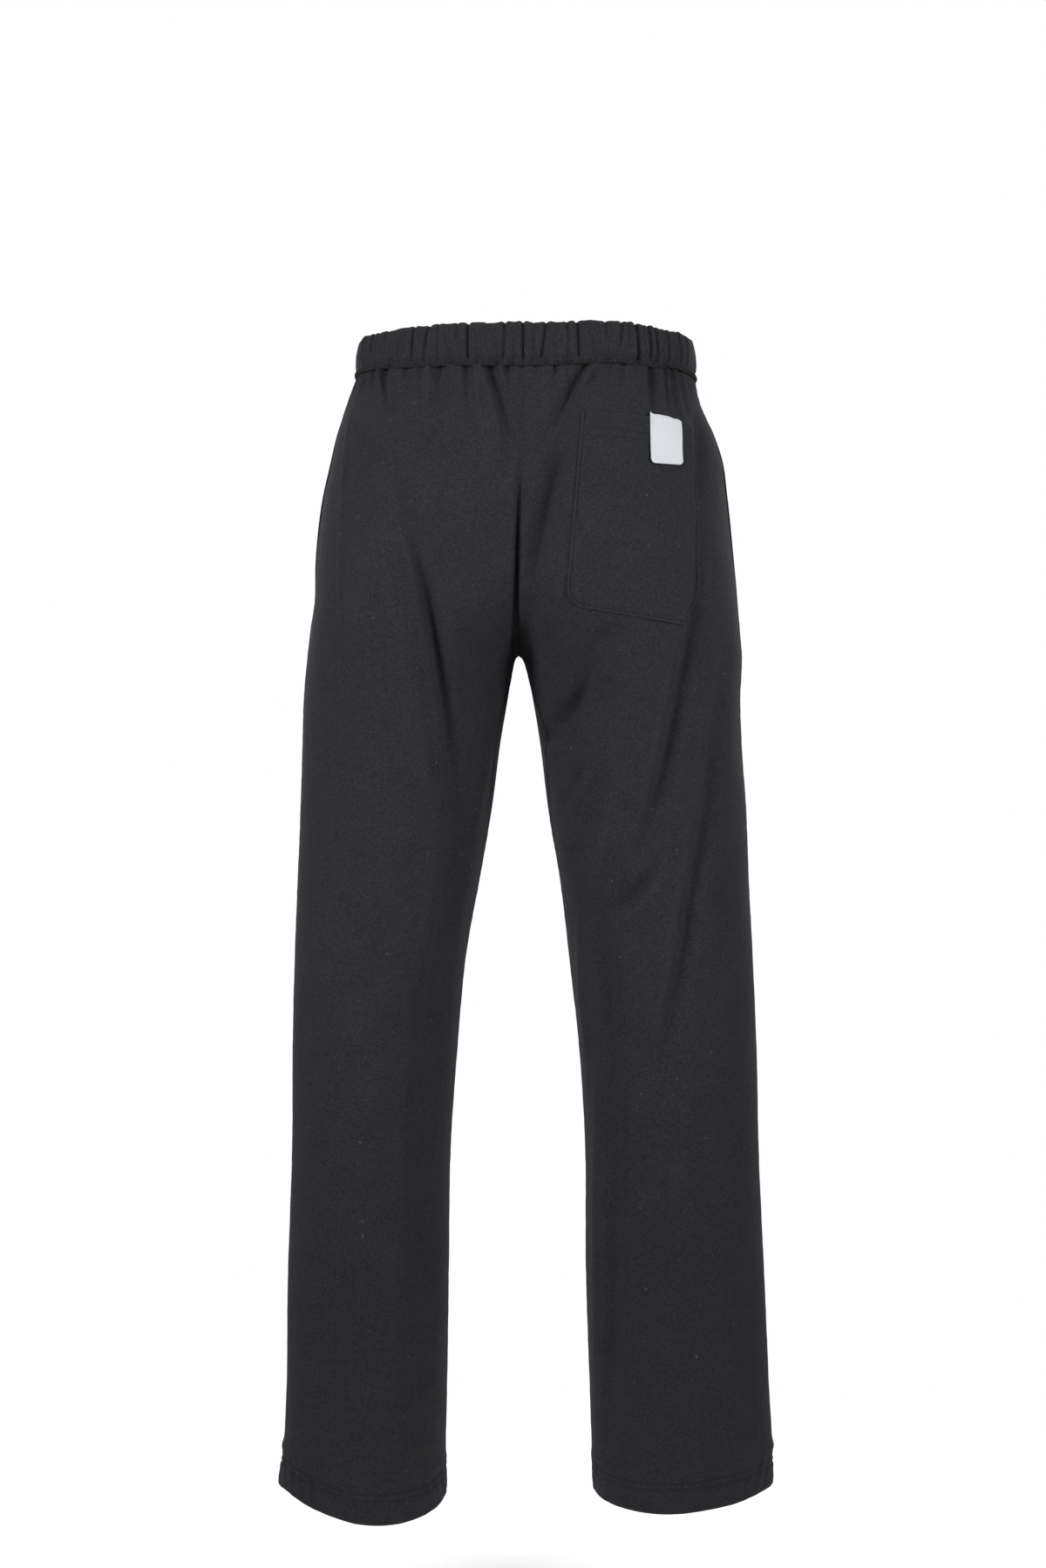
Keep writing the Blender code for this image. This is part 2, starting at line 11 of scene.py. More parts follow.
import bmesh
import bpy
import numpy as np
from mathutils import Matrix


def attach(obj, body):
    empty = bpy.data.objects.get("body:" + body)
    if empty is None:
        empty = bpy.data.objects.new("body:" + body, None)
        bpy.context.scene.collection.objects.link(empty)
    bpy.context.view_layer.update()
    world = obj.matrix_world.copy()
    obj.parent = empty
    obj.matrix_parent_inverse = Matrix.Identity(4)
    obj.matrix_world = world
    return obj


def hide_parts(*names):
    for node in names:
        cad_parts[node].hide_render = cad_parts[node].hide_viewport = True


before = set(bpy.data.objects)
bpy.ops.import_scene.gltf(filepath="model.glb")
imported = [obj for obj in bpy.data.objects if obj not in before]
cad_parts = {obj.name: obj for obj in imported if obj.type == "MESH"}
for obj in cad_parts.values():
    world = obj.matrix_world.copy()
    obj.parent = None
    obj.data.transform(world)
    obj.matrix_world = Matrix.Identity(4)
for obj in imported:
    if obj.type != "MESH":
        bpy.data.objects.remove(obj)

MM = 0.001
FULL_TURN = 2 * math.pi
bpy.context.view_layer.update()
print("solids:", ", ".join(sorted(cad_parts)))

# %% [markdown]
# ## The camera
# The garment is seen squarely from behind, from about three metres, so its straight sides stay
# straight. A long lens at that distance gives the flat look of a catalogue picture. The front of
# the garment faces -Y, so the camera stands at +Y and looks back along -Y.

# %% Camera behind the garment
CAMERA_PLACE = (0, 3, -0.3723)
LENS, SENSOR = 77.97, 36


def show(name, data):
    """An object of this data, put in the scene."""
    made = bpy.data.objects.new(name, data)
    bpy.context.scene.collection.objects.link(made)
    return made


camera = show("camera_behind", bpy.data.cameras.new("camera_behind"))
camera.data.lens, camera.data.sensor_width = LENS, SENSOR
camera.location = CAMERA_PLACE
camera.rotation_euler = (math.radians(90), 0, math.radians(180))
bpy.context.scene.camera = camera
print("camera", CAMERA_PLACE)

# %% [markdown]
# ## The form under the cloth
# A worn garment takes its form from the body in it. One table gives that form as horizontal
# sections, in millimetres: how far each leg reaches to its outer and inner side, and how deep it
# is behind and before. Smooth curves join the rows. A table keeps the whole form in one place, so
# that every panel, stitch and pocket can ask it where the cloth is.

# %% Sections of the garment
SIDES = {"left": 1, "right": -1}
FACES = {"back": 1, "front": -1}
WAIST_LEVEL = -18.5
CROTCH_LEVEL = -258.5
HEM_LEVEL = -990.0
SECTION_COLUMNS = (
    "level", "outer_left", "outer_right", "inner_left", "inner_right", "lobe_back",
    "lobe_front", "peak_back", "peak_front", "back", "front", "fullness",
)


def table(text):
    """Rows of numbers, written one row to a line."""
    return [[float(number) for number in line.split()] for line in text.strip().splitlines()]


SECTIONS = table("""
-18.5 147 151 0 0 149 149 0 0 107 105 2.15
-40 155 156 0 0 155 156 0.05 0 111 107 2.15
-65 163 167 0 0 163 165 0.14 0.03 116.5 109 2.15
-90 168 175.5 0 0 161 171 0.22 0.06 121.5 110.5 2.15
-120 173.5 180 0 0 146 172 0.31 0.12 127 112 2.15
-150 177 184 0 0 122 165 0.38 0.2 131.5 113 2.15
-180 178.6 187.5 0 0 90 138 0.43 0.29 134 113 2.15
-212 179 191.5 0 0 54 92 0.465 0.38 133 112.5 2.15
-240 182.8 194.3 0 0 23 41 0.485 0.45 128 112 2.15
-258.5 185.2 196 0 0 0 0 0.502 0.492 122.5 111.5 2.15
-300 189 195.2 9.8 13.2 0 0 0.53 0.53 113 110.5 2.15
-340 189.9 196.9 16.5 19.7 0 0 0.546 0.546 105.5 108 2.15
-400 192.2 200.8 24.5 27.2 0 0 0.565 0.565 97.5 102.5 2.12
-455 194.5 203 34.4 36.8 0 0 0.589 0.589 92 97.5 2.1
-530 197.5 206.8 47.3 45.6 0 0 0.617 0.617 86.5 91.5 2.08
-610 199 210 54.5 54.4 0 0 0.636 0.636 82.5 85.5 2.06
-690 199.3 211.6 59.8 59 0 0 0.648 0.648 80 79.5 2.04
-800 203 216.3 61.7 59.7 0 0 0.652 0.652 76 73 2
-915 204.8 221.4 63.5 63.6 0 0 0.656 0.656 71 68.5 1.95
-955 207 223.6 64.3 65 0 0 0.657 0.657 69 67 1.92
-990 211 223.4 64 66.6 0 0 0.652 0.652 67 65 1.9
""")


def curve_through(levels, values):
    """A smooth curve through the rows of a table: cubic pieces that share their slopes."""
    order = np.argsort(levels)
    levels, values = levels[order], values[order]
    slopes = np.gradient(values, levels)

    def at(level):
        level = np.clip(level, levels[0], levels[-1])
        i = np.clip(np.searchsorted(levels, level) - 1, 0, len(levels) - 2)
        span = levels[i + 1] - levels[i]
        t = (level - levels[i]) / span
        ease = t * t * (3 - 2 * t)
        ends = values[i] * (1 - ease) + values[i + 1] * ease
        lean = slopes[i] * t * (1 - t) ** 2 + slopes[i + 1] * t * t * (t - 1)
        return ends + span * lean

    return at


def section_curves():
    """A curve for each column. The gap between the legs is an arch, so it is joined as squares."""
    columns = dict(zip(SECTION_COLUMNS, np.array(SECTIONS).T))
    level = columns.pop("level")
    legs, hips = level <= CROTCH_LEVEL, level >= CROTCH_LEVEL
    curves = {}
    for column, values in columns.items():
        kind = column.split("_")[0]
        used = {"inner": legs, "lobe": hips}.get(kind, legs | hips)
        curves[column] = curve_through(level[used], values[used] ** (2 if kind == "inner" else 1))
    return curves


SIZE = section_curves()
print("waist", 2 * SIZE["outer_left"](WAIST_LEVEL), "mm wide")

# %% [markdown]
# ## From the table to points on the skin
# Each leg is an oval at every level. A point on it is named by its level and its angle round the
# leg, which is 0 on the outermost line and a half turn at the innermost one, positive over the
# back. The oval is a little squarer than an ellipse, which a superellipse gives with one number.
# Above the crotch each leg's oval is cut off at the centre seam, where it meets the other one.

# %% Small helpers
def between(start, end, share):
    """A value on its way from start, where share is 0, to end, where it is 1."""
    return start + (end - start) * share


def ramp(value, start, end):
    """0 at start, 1 at end, and a smooth step between them."""
    t = np.clip((value - start) / (end - start), 0, 1)
    return t * t * (3 - 2 * t)


def bell(away, width, power=2):
    """1 in the middle, and smoothly down to nothing a few widths away."""
    return np.exp(-((away / width) ** power))


def nearer(share):
    """The share that is left to the nearer end."""
    return np.minimum(share, 1 - share)


def signed_power(value, power):
    return np.sign(value) * np.abs(value) ** power


print("a bell is down to", round(float(bell(2, 1)), 3), "two widths away")

# %% The oval of a leg
CENTRE_AT_WAIST = -0.5
CENTRE_AT_CROTCH = 4.0
HEM_RAMP_TOP = -820.0
HEM_DROP = {"left": 24.0, "right": 14.0}
HEM_DROP_ANGLE = {"left": 112.0, "right": 108.0}
HEM_FRONT_RISE = 9.0
HEM_DROP_SPREAD = 1.4


def centre_line(level):
    return between(CENTRE_AT_WAIST, CENTRE_AT_CROTCH, ramp(level, WAIST_LEVEL, CROTCH_LEVEL))


def half_section(side, face, level):
    """The middle of one leg's oval on one face, and its outer and inner reach."""
    outer = SIZE[f"outer_{side}"](level)
    mean_outer = (SIZE["outer_left"](level) + SIZE["outer_right"](level)) / 2
    middle = SIZE[f"peak_{face}"](level) * mean_outer
    below = np.sqrt(np.maximum(SIZE[f"inner_{side}"](level), 0))
    above = -np.maximum(SIZE[f"lobe_{face}"](level), 0)
    inner = np.where(level <= CROTCH_LEVEL, below, above)
    return middle, outer - middle, middle - inner


def section_at(side, behind, level):
    """The same three, from the back where behind is true and from the front elsewhere."""
    halves = [half_section(side, face, level) for face in FACES]
    return [np.where(behind, back, front) for back, front in zip(*halves)]


def oval_point(side, angle, level):
    """A point of a leg's oval, in millimetres."""
    across, round_back = np.cos(angle), np.sin(angle)
    middle, outwards, inwards = section_at(side, round_back >= 0, level)
    half = np.where(across >= 0, outwards, inwards)
    power = 2 / SIZE["fullness"](level)
    back, front = SIZE["back"](level), SIZE["front"](level)
    x = SIDES[side] * (middle + half * signed_power(across, power)) + centre_line(level)
    y = (back - front) / 2 + (back + front) / 2 * signed_power(round_back, power)
    lowest = math.radians(HEM_DROP_ANGLE[side])
    drop = HEM_DROP[side] * np.maximum(np.cos(angle - lowest), 0) ** HEM_DROP_SPREAD
    rise = HEM_FRONT_RISE * np.maximum(-round_back, 0) ** HEM_DROP_SPREAD
    z = level + ramp(level, HEM_RAMP_TOP, HEM_LEVEL) * (rise - drop)
    return np.stack(np.broadcast_arrays(x, y, z), axis=-1)


def oval_depth(side, behind, x, level):
    """How far behind (or in front, as a negative number) the oval lies at x, in millimetres."""
    middle, outwards, inwards = section_at(side, behind, level)
    beside = SIDES[side] * (x - centre_line(level)) - middle
    share = np.clip(np.abs(beside) / np.where(beside > 0, outwards, inwards), 0, 1)
    power = SIZE["fullness"](level)
    back, front = SIZE["back"](level), SIZE["front"](level)
    rise = (1 - share**power) ** (1 / power) * (back + front) / 2
    return (back - front) / 2 + np.where(behind, rise, -rise)


print("left knee, outermost point", oval_point("left", 0.0, -530.0).round(1))

# %% Points on the bare form
CREASE_SPREAD = 36.0
CREASE_STEPS = np.linspace(-42, 42, 13)
CREASE_WEIGHTS = bell(CREASE_STEPS, 19.0)
CREASE_WEIGHTS /= CREASE_WEIGHTS.sum()
# cosines of the angle between which the mean fades, at the inner and the outer seam
INNER_FADE, OUTER_FADE = (-0.985, -0.86), (0.85, 0.5)
LEAST_SHARE = 0.002


def bare_point(side, angle, level):
    """A point of the garment's outer face before folds, in millimetres.

    The seat runs into the thighs without a crease, so near the crotch's level each point's depth
    is a mean of the depths above and below it, except close to the seams between the legs.
    """
    angle, level = np.broadcast_arrays(angle, level)
    point = oval_point(side, angle, level)
    share = bell(level - CROTCH_LEVEL, CREASE_SPREAD)
    share = share * ramp(np.cos(angle), *INNER_FADE) * ramp(np.cos(angle), *OUTER_FADE)
    near = share > LEAST_SHARE
    if near.any():
        behind, x, z = np.sin(angle[near]) >= 0, point[near, 0], level[near]
        mean = sum(
            weight * oval_depth(side, behind, x, z + step)
            for step, weight in zip(CREASE_STEPS, CREASE_WEIGHTS)
        )
        point[near, 1] += (mean - oval_depth(side, behind, x, z)) * share[near]
    return point


def outward(side, angle, level):
    """The outward direction of the cloth, from its slopes round the leg and down it."""
    turn, step = 0.02, 3.0
    round_it = bare_point(side, angle + turn, level) - bare_point(side, angle - turn, level)
    down_it = bare_point(side, angle, level - step) - bare_point(side, angle, level + step)
    normal = np.cross(down_it, round_it) * SIDES[side]
    return normal / np.maximum(np.linalg.norm(normal, axis=-1, keepdims=True), 1e-9)


print("seat, deepest point", bare_point("left", np.array(1.5), np.array(-180.0)).round(1))

# %% Where the seams run
SIDE_SEAM_AT_HIP = 7.0
SIDE_SEAM_FADE = (-300.0, -520.0)
INSEAM_SWING = 20.0
INSEAM_SWING_LEVEL = -320.0
INSEAM_SWING_LENGTH = 85.0
WIDTH_KEPT = 0.8
STEEPEST = 10


def side_seam(level):
    return math.radians(SIDE_SEAM_AT_HIP) * (1 - ramp(level, *SIDE_SEAM_FADE))


def inner_seam(side, face, level):
    """The angle where a panel ends: the centre seam above the crotch, the inseam below it."""
    middle, _, inwards = half_section(side, face, level)
    share = np.clip(middle / inwards, 0, 1) ** (SIZE["fullness"](level) / 2)
    swing = math.radians(INSEAM_SWING) * bell(level - INSEAM_SWING_LEVEL, INSEAM_SWING_LENGTH)
    swing = swing * ramp(level, CROTCH_LEVEL, INSEAM_SWING_LEVEL)
    at_centre, at_inseam = math.pi - np.arccos(share), math.pi - FACES[face] * swing
    return FACES[face] * np.where(level > CROTCH_LEVEL, at_centre, at_inseam)


def panel_angle(side, face, across, level):
    """across is 0 at the side seam and 1 at the centre seam or inseam.

    Where the panel is cut short at the centre seam, the columns nearest to it give way most, so
    that the others run straight down past the crotch.
    """
    start, end = side_seam(level), inner_seam(side, face, level)
    whole = FACES[face] * math.pi - start
    cut = whole + start - end
    power = WIDTH_KEPT * np.abs(whole) / np.maximum(np.abs(cut), 1e-6)
    power = np.clip(power, 1, STEEPEST)
    return start + whole * across - cut * across**power


print("side seam at the hip", SIDE_SEAM_AT_HIP, "degrees behind the outermost line")

# %% [markdown]
# ## Folds
# Heavy knit falls in a few long, soft folds. A simulation would give folds, but not these folds,
# so each one is drawn: a bent line in the view from behind or from in front, how deep the
# cloth sinks along it, how wide the trough is, and how much of that depth stands up again as a
# roll beside it. A negative depth is a ridge. Long troughs fan out from the crotch and run down
# the thighs; shorter ones start at the waistband and lose themselves in the seat.

# %% Long folds, drawn
# x0, z0 to x1, z1 to x2, z2, then depth, width and roll, in mm
BACK_FOLDS = table("""
100 -138 69 -246 56 -380 8.6 5.6 0.35
104 -170 66 -280 58 -430 3.4 16 0.45
112 -66 107 -112 98 -168 1.6 2.6 0.4
54 -350 56 -450 86 -600 6 10 0.3
78 -520 88 -690 92 -930 4.4 13 0.3
20 -286 27 -350 45 -430 -1.7 2.2 0
28 -280 33 -345 49 -420 1.8 4 0
46 -445 52 -470 58 -520 -1.6 3.6 0
3 -100 4.6 -172 8 -292 6.4 2.4 0
-10 -130 -9 -195 -4 -280 3.6 8 0.2
-40 -78 -22 -112 -8 -205 8 8 -0.3
-64 -262 -44 -312 -12 -340 9.5 8 -0.3
-96 -240 -62 -248 -34 -296 4.4 10 -0.2
-56 -350 -46 -372 -32 -394 3 4.4 -0.4
-66 -372 -56 -404 -46 -446 2.2 7 -0.2
-78 -384 -66 -420 -56 -480 -2.4 3.8 0
-119 -434 -103 -466 -70 -489 7.4 6.4 -0.35
-64 -480 -74 -540 -80 -640 3.6 6.4 0.45
-47 -480 -51 -560 -58 -680 -2.4 3 0
-78 -600 -79 -770 -76 -960 4.4 7 0.45
-150 -50 -152.5 -88 -149 -136 5.4 5.4 0.2
-151 -100 -150 -190 -138 -290 4.4 5.4 0.2
-146 -216 -130 -332 -98 -450 8.6 7.6 0.25
-172 -255 -165 -350 -147 -470 6.4 7 0.25
-153 -400 -143 -500 -118 -630 7.4 7.6 0.25
-130 -600 -120 -680 -112 -780 2 12 -0.3
149.5 -44 161 -130 155 -272 -1.5 1.6 0
146 -44 157 -130 151 -262 0.9 2.4 0
145 -60 139 -74 135 -92 1.5 4 0.3
126 -318 112 -334 96 -342 1.2 8 0.2
150 -300 160 -420 146 -560 1.8 15 -0.3
112 -620 120 -730 132 -860 1.6 18 0.3
-150 -640 -162 -740 -150 -870 2 18 0.3
152 -700 164 -800 150 -930 1.6 15 0.3
-62 -600 -64 -770 -61 -960 -2.4 4 0
72 -24 68 -60 56 -112 3 11 0
20 -40 14 -70 8 -108 2.6 9 0.2
-112 -20 -108 -36 -112 -54 2 9 0
-52 -30 -40 -66 -16 -112 2.6 11 0
-78 -282 -56 -304 -26 -328 5.5 13 0
-36 -92 -24 -132 -16 -192 3.6 13 0
62 -60 66 -100 60 -140 2.4 14 0
""")
FRONT_FOLDS = table("""
24 -190 72 -222 126 -230 7 14 0.4
-24 -196 -70 -236 -126 -264 7 15 -0.4
34 -296 78 -336 118 -412 6.6 16 0.35
-30 -292 -66 -322 -116 -360 6.2 14 -0.35
88 -866 138 -886 186 -868 5.2 15 0.4
-90 -878 -140 -896 -196 -874 4.8 15 -0.4
96 -560 128 -584 172 -566 3.8 16 0.3
-100 -590 -136 -606 -178 -592 3 15 0.3
16 -60 30 -120 22 -190 2.6 10 0.35
-18 -50 -40 -110 -34 -180 2.6 10 -0.35
60 -70 96 -120 112 -190 2.4 11 0.3
-70 -66 -104 -120 -122 -200 2.4 11 -0.3
150 -60 158 -130 156 -214 -1.5 4.4 0
-150 -60 -161 -130 -163 -214 -1.5 4.4 0
130 -300 120 -430 134 -540 2.4 16 0.3
-126 -380 -140 -470 -128 -560 2.4 16 -0.3
110 -640 118 -740 104 -850 2.2 17 0.3
-120 -650 -128 -750 -114 -850 2.2 17 -0.3
120 -905 150 -918 180 -905 2.2 9 0.3
-130 -915 -158 -926 -190 -912 2.2 9 0.3
""")
print(len(BACK_FOLDS), "folds behind,", len(FRONT_FOLDS), "in front")

# %% What a drawn line does to the cloth
STEEP_SIDE, GENTLE_SIDE = 1.25, 0.9
LINE_REACH = 4.2
ROLL_BESIDE = 1.7
SEAM_TAPER, PLAIN_TAPER = 1.3, 0.8


def line_relief(rows, x, z, from_seam=False):
    """How far drawn lines move the cloth out (up) or in (down) at x and z.

    A line from the seam is deepest at its start; any other fades towards both ends.
    """
    relief = np.zeros_like(x)
    t = np.linspace(0, 1, 61)
    for x0, z0, x1, z1, x2, z2, depth, width, roll in rows:
        line_x = (1 - t) ** 2 * x0 + 2 * t * (1 - t) * x1 + t * t * x2
        line_z = (1 - t) ** 2 * z0 + 2 * t * (1 - t) * z1 + t * t * z2
        reach = LINE_REACH * width
        near = (x > line_x.min() - reach) & (x < line_x.max() + reach)
        near &= (z > line_z.min() - reach) & (z < line_z.max() + reach)
        if not near.any():
            continue
        at_x, at_z = x[near][:, None], z[near][:, None]
        k = np.argmin((at_x - line_x) ** 2 + (at_z - line_z) ** 2, axis=1)
        slope_x, slope_z = np.gradient(line_x, t)[k], np.gradient(line_z, t)[k]
        aside = (at_z[:, 0] - line_z[k]) * slope_x - (at_x[:, 0] - line_x[k]) * slope_z
        aside = aside / np.hypot(slope_x, slope_z) / width
        aside = aside * np.where(aside * roll > 0, STEEP_SIDE, GENTLE_SIDE if roll else 1.0)
        if from_seam:
            taper = np.cos(math.pi / 2 * t[k]) ** SEAM_TAPER
        else:
            taper = np.sin(math.pi * t[k]) ** PLAIN_TAPER
        beside = bell(aside - ROLL_BESIDE * np.sign(roll), 1) * abs(roll)
        relief[near] += depth * taper * (beside - bell(aside, 1))
    return relief


print("a line reaches", LINE_REACH, "times its width to either side")

# %% [markdown]
# ## Gathers
# The elastic is shorter than the cloth that is sewn to it, so the cloth bunches up: sharp short
# valleys start at the waistband's seam and die out in a few centimetres. The ones that show from
# behind are listed one by one. Between them, and all along the hidden front, a seeded random
# generator strews small puckers, because no one places those by hand.

# %% Gathers under the waistband
# from x, z at the seam to x, z at the end, then depth, width and roll
BACK_GATHERS = table("""
138 -20 139 -32 138 -44 1.8 2.4 0.3
131.4 -20 131 -28 130 -42 2.4 2.4 0.3
121 -16 122.8 -38 111 -64 4.2 3 0.4
101.5 -14 101.6 -22 101 -32 2.2 2.4 0.3
92.5 -18 92 -26 93 -40 -1.2 2 0
81 -14 84 -46 82 -90 -2.2 2.8 0
73 -14 72 -34 70 -72 3.4 5.6 0.3
62 -14 61.4 -26 60 -42 -1.2 2.2 0
49 -14 49 -36 46 -70 3 3.2 0.3
40.5 -14 40 -60 20 -124 -2 4.4 0
30.4 -14 22 -44 4 -104 5.4 4.4 0.4
14.4 -14 12.6 -28 8 -50 2.8 2.8 0.3
2 -14 2 -24 0 -36 1.6 2.4 0.3
-10 -14 -12.6 -24 -18 -36 2 2.8 0.3
-26 -14 -27.6 -24 -32 -36 1.8 2.6 0.3
-38.2 -14 -39.6 -24 -42 -38 1.8 2.4 0.4
-58 -12 -38 -46 -4 -110 5 4 -0.6
-60 -20 -57 -36 -62 -54 2 3.4 0
-75 -12 -76 -22 -77 -34 1.4 2.4 0.3
-85.2 -14 -85 -30 -84 -50 2.4 2.8 0.3
-97 -14 -98 -24 -100 -36 1.4 2.4 0.3
-110.4 -14 -110.6 -40 -111 -74 4 3 0.4
-124 -16 -125 -40 -128 -72 3.6 2.6 0.3
-130.6 -16 -131 -42 -136 -78 4.2 2.8 0.3
-137 -18 -139 -42 -146 -70 2.6 2.4 0.3
""")
FRONT_GATHER_COUNT = 21
FRONT_GATHER_REACH = 136
FRONT_GATHER_LENGTH, FRONT_GATHER_DEPTH = 62.0, 2.8
PUCKER_COUNT = 46
PUCKERS_END = 56
PANEL_WIDTH_AT_WAIST = 205.0
# place in its own slot, slant, length, width and depth: least and most
PUCKER_SPANS = ((0.1, 0.9), (-0.3, 0.3), (6, 24), (1.2, 2.3), (0.3, 1.3))


def front_gathers():
    """Gathers that start at the waistband's seam, for the front, where none is drawn."""
    rng = np.random.default_rng(11)
    places = np.linspace(-FRONT_GATHER_REACH, FRONT_GATHER_REACH, FRONT_GATHER_COUNT)
    rows = []
    for x in places + rng.uniform(-4.5, 4.5, FRONT_GATHER_COUNT):
        length = rng.uniform(0.35, 1.0) * FRONT_GATHER_LENGTH
        drift = rng.uniform(-0.22, 0.22) * length
        depth = rng.uniform(0.45, 1.0) * FRONT_GATHER_DEPTH
        width = rng.uniform(3.2, 5.0)
        line = (x, -14, x + drift * 0.3, -18 - length / 2, x + drift, -18 - length)
        rows.append((*line, depth, width, 0.4))
    return rows


def pucker_table(seed):
    """Seeded puckers: place along the seam, slant, length, width and depth, in mm."""
    rng = np.random.default_rng(seed)
    rows = np.array([rng.uniform(*span, PUCKER_COUNT) for span in PUCKER_SPANS])
    rows[0] = (np.arange(PUCKER_COUNT) + rows[0]) / PUCKER_COUNT * PANEL_WIDTH_AT_WAIST
    return rows


def pucker_relief(puckers, along_seam, below):
    """Small puckers: sharp at the seam and gone a finger's width below it."""
    relief = np.zeros_like(along_seam)
    near = below < PUCKERS_END
    at, down = along_seam[near][:, None], np.maximum(below[near][:, None], 0)
    place, slant, length, width, depth = puckers
    aside = (at - place - slant * down) / width
    relief[near] = -(depth * np.exp(-(aside**2) - (down / length) ** 2)).sum(axis=1)
    return relief


FRONT_GATHERS = front_gathers()
PUCKERS = {}
for face in FACES:
    for side in SIDES:
        PUCKERS[side, face] = pucker_table(21 + len(PUCKERS))
print(len(BACK_GATHERS), "gathers drawn behind,", len(FRONT_GATHERS), "strewn in front")

# %% [markdown]
# ## Seams, hems and pocket mouths as relief
# A seam is a fine groove between two low ridges, where the cloth turns inwards. A hem is two
# layers thick, and each row of stitches pulls it in a little. All of this is added to the same
# height as the folds, so one function answers for the whole skin, and whatever lies on the cloth
# later, such as a stitch or the pocket, can be put exactly on top of it.

# %% Slow waves, seams and pocket mouths
WAVE_COUNT = 9
WAVE_LENGTHS = (34, 120)
MOUTH_TOP, MOUTH_BOTTOM = -56.0, -212.0
MOUTH_LIFT, MOUTH_LIFT_REACH = 0.8, 26.0
MOUTH_STITCH_INSET = 6.0


def slow_waves(seed, height):
    """Seeded waves that keep the plain cloth from looking flat."""
    rng = np.random.default_rng(seed)
    turn = FULL_TURN / rng.uniform(*WAVE_LENGTHS, WAVE_COUNT)
    lean = rng.uniform(-0.9, 0.9, WAVE_COUNT)
    shift = rng.uniform(0, FULL_TURN, WAVE_COUNT)
    return turn * np.cos(lean), turn * np.sin(lean), shift, height / WAVE_COUNT**0.5


def wave_relief(waves, x, z):
    by_x, by_z, shift, height = waves
    return height * np.sin(x[..., None] * by_x + z[..., None] * by_z + shift).sum(axis=-1)


def seam_relief(away, level):
    """The groove at a seam, the ridge beside it, and the fine ripple that its thread leaves."""
    ripple = np.sin(level * 0.83) + np.sin(level * 0.51 + 1) + np.sin(level * 0.27 + 2)
    return 0.4 * bell(away - 4.2, 2.4) - 0.95 * bell(away, 1.3) + ripple / 12 * bell(away, 6)


def side_relief(face, away, level):
    """The side seam, and on the front the lip and the pulled stitches of the pocket's mouth."""
    middle, half = (MOUTH_TOP + MOUTH_BOTTOM) / 2, (MOUTH_TOP - MOUTH_BOTTOM) / 2
    mouth = np.clip(1 - ((level - middle) / half) ** 2, 0, 1)
    opened = ramp(mouth, 0, 0.16)
    seam = seam_relief(away, level)
    if face == "back":
        return seam * (1 - 0.5 * opened)
    lip = MOUTH_LIFT * bell(away, MOUTH_LIFT_REACH) * mouth
    edge = 0.4 * bell(away, MOUTH_STITCH_INSET + 1.5, 4)
    edge = edge - 0.45 * bell(away - MOUTH_STITCH_INSET, 1)
    return lip + opened * edge + (1 - opened) * seam


print("side pockets open over", MOUTH_TOP - MOUTH_BOTTOM, "mm")

# %% One relief for the whole skin
HEM_DEPTH = 29.0
HEM_STITCH_HEIGHTS = (20.0, 25.5)
HEM_STEP, HEM_GROOVE, HEM_ROLL, HEM_ROPING = 0.7, 1.0, 0.9, 0.34
HEM_ROLL_HEIGHT, HEM_ROPE_HEIGHT = 32.0, 14.0
HIP_RADIUS = 110.0
LEAST_RADIUS = 60.0
FOLD_FADE, WAVE_FADE, GATHER_FADE = (0.05, 0.5), (-0.1, 0.4), (-0.02, 0.2)
WAIST_TUCK = 0.6
GATHER_SHARE = 1.25
DRAWN = (
    (1, BACK_FOLDS, BACK_GATHERS, slow_waves(31, 0.55)),
    (-1, FRONT_FOLDS, FRONT_GATHERS, slow_waves(32, 0.6)),
)


def hem_relief(angle, level):
    """The step of the second layer, the grooves of two stitch rows, a roll over them where the
    cloth drags, and the slanting ropes that washing leaves below them."""
    up = level - HEM_LEVEL
    grooves = sum(HEM_GROOVE * bell(up - row, 1.25) for row in HEM_STITCH_HEIGHTS)
    drag = np.sin(angle * 5 + 1.1) + np.sin(angle * 9 + 0.4)
    roll = (HEM_ROLL + 0.35 * drag) * bell(up - HEM_ROLL_HEIGHT - 1.6 * drag, 4.2)
    ropes = np.sin(angle * 21 + level * 0.12) + np.sin(angle * 34 + level * 0.2 + 2)
    step = HEM_STEP * (1 - ramp(up, HEM_DEPTH - 2.5, HEM_DEPTH + 1.5))
    return step - grooves + roll + HEM_ROPING * ropes * bell(up - HEM_ROPE_HEIGHT, 14)


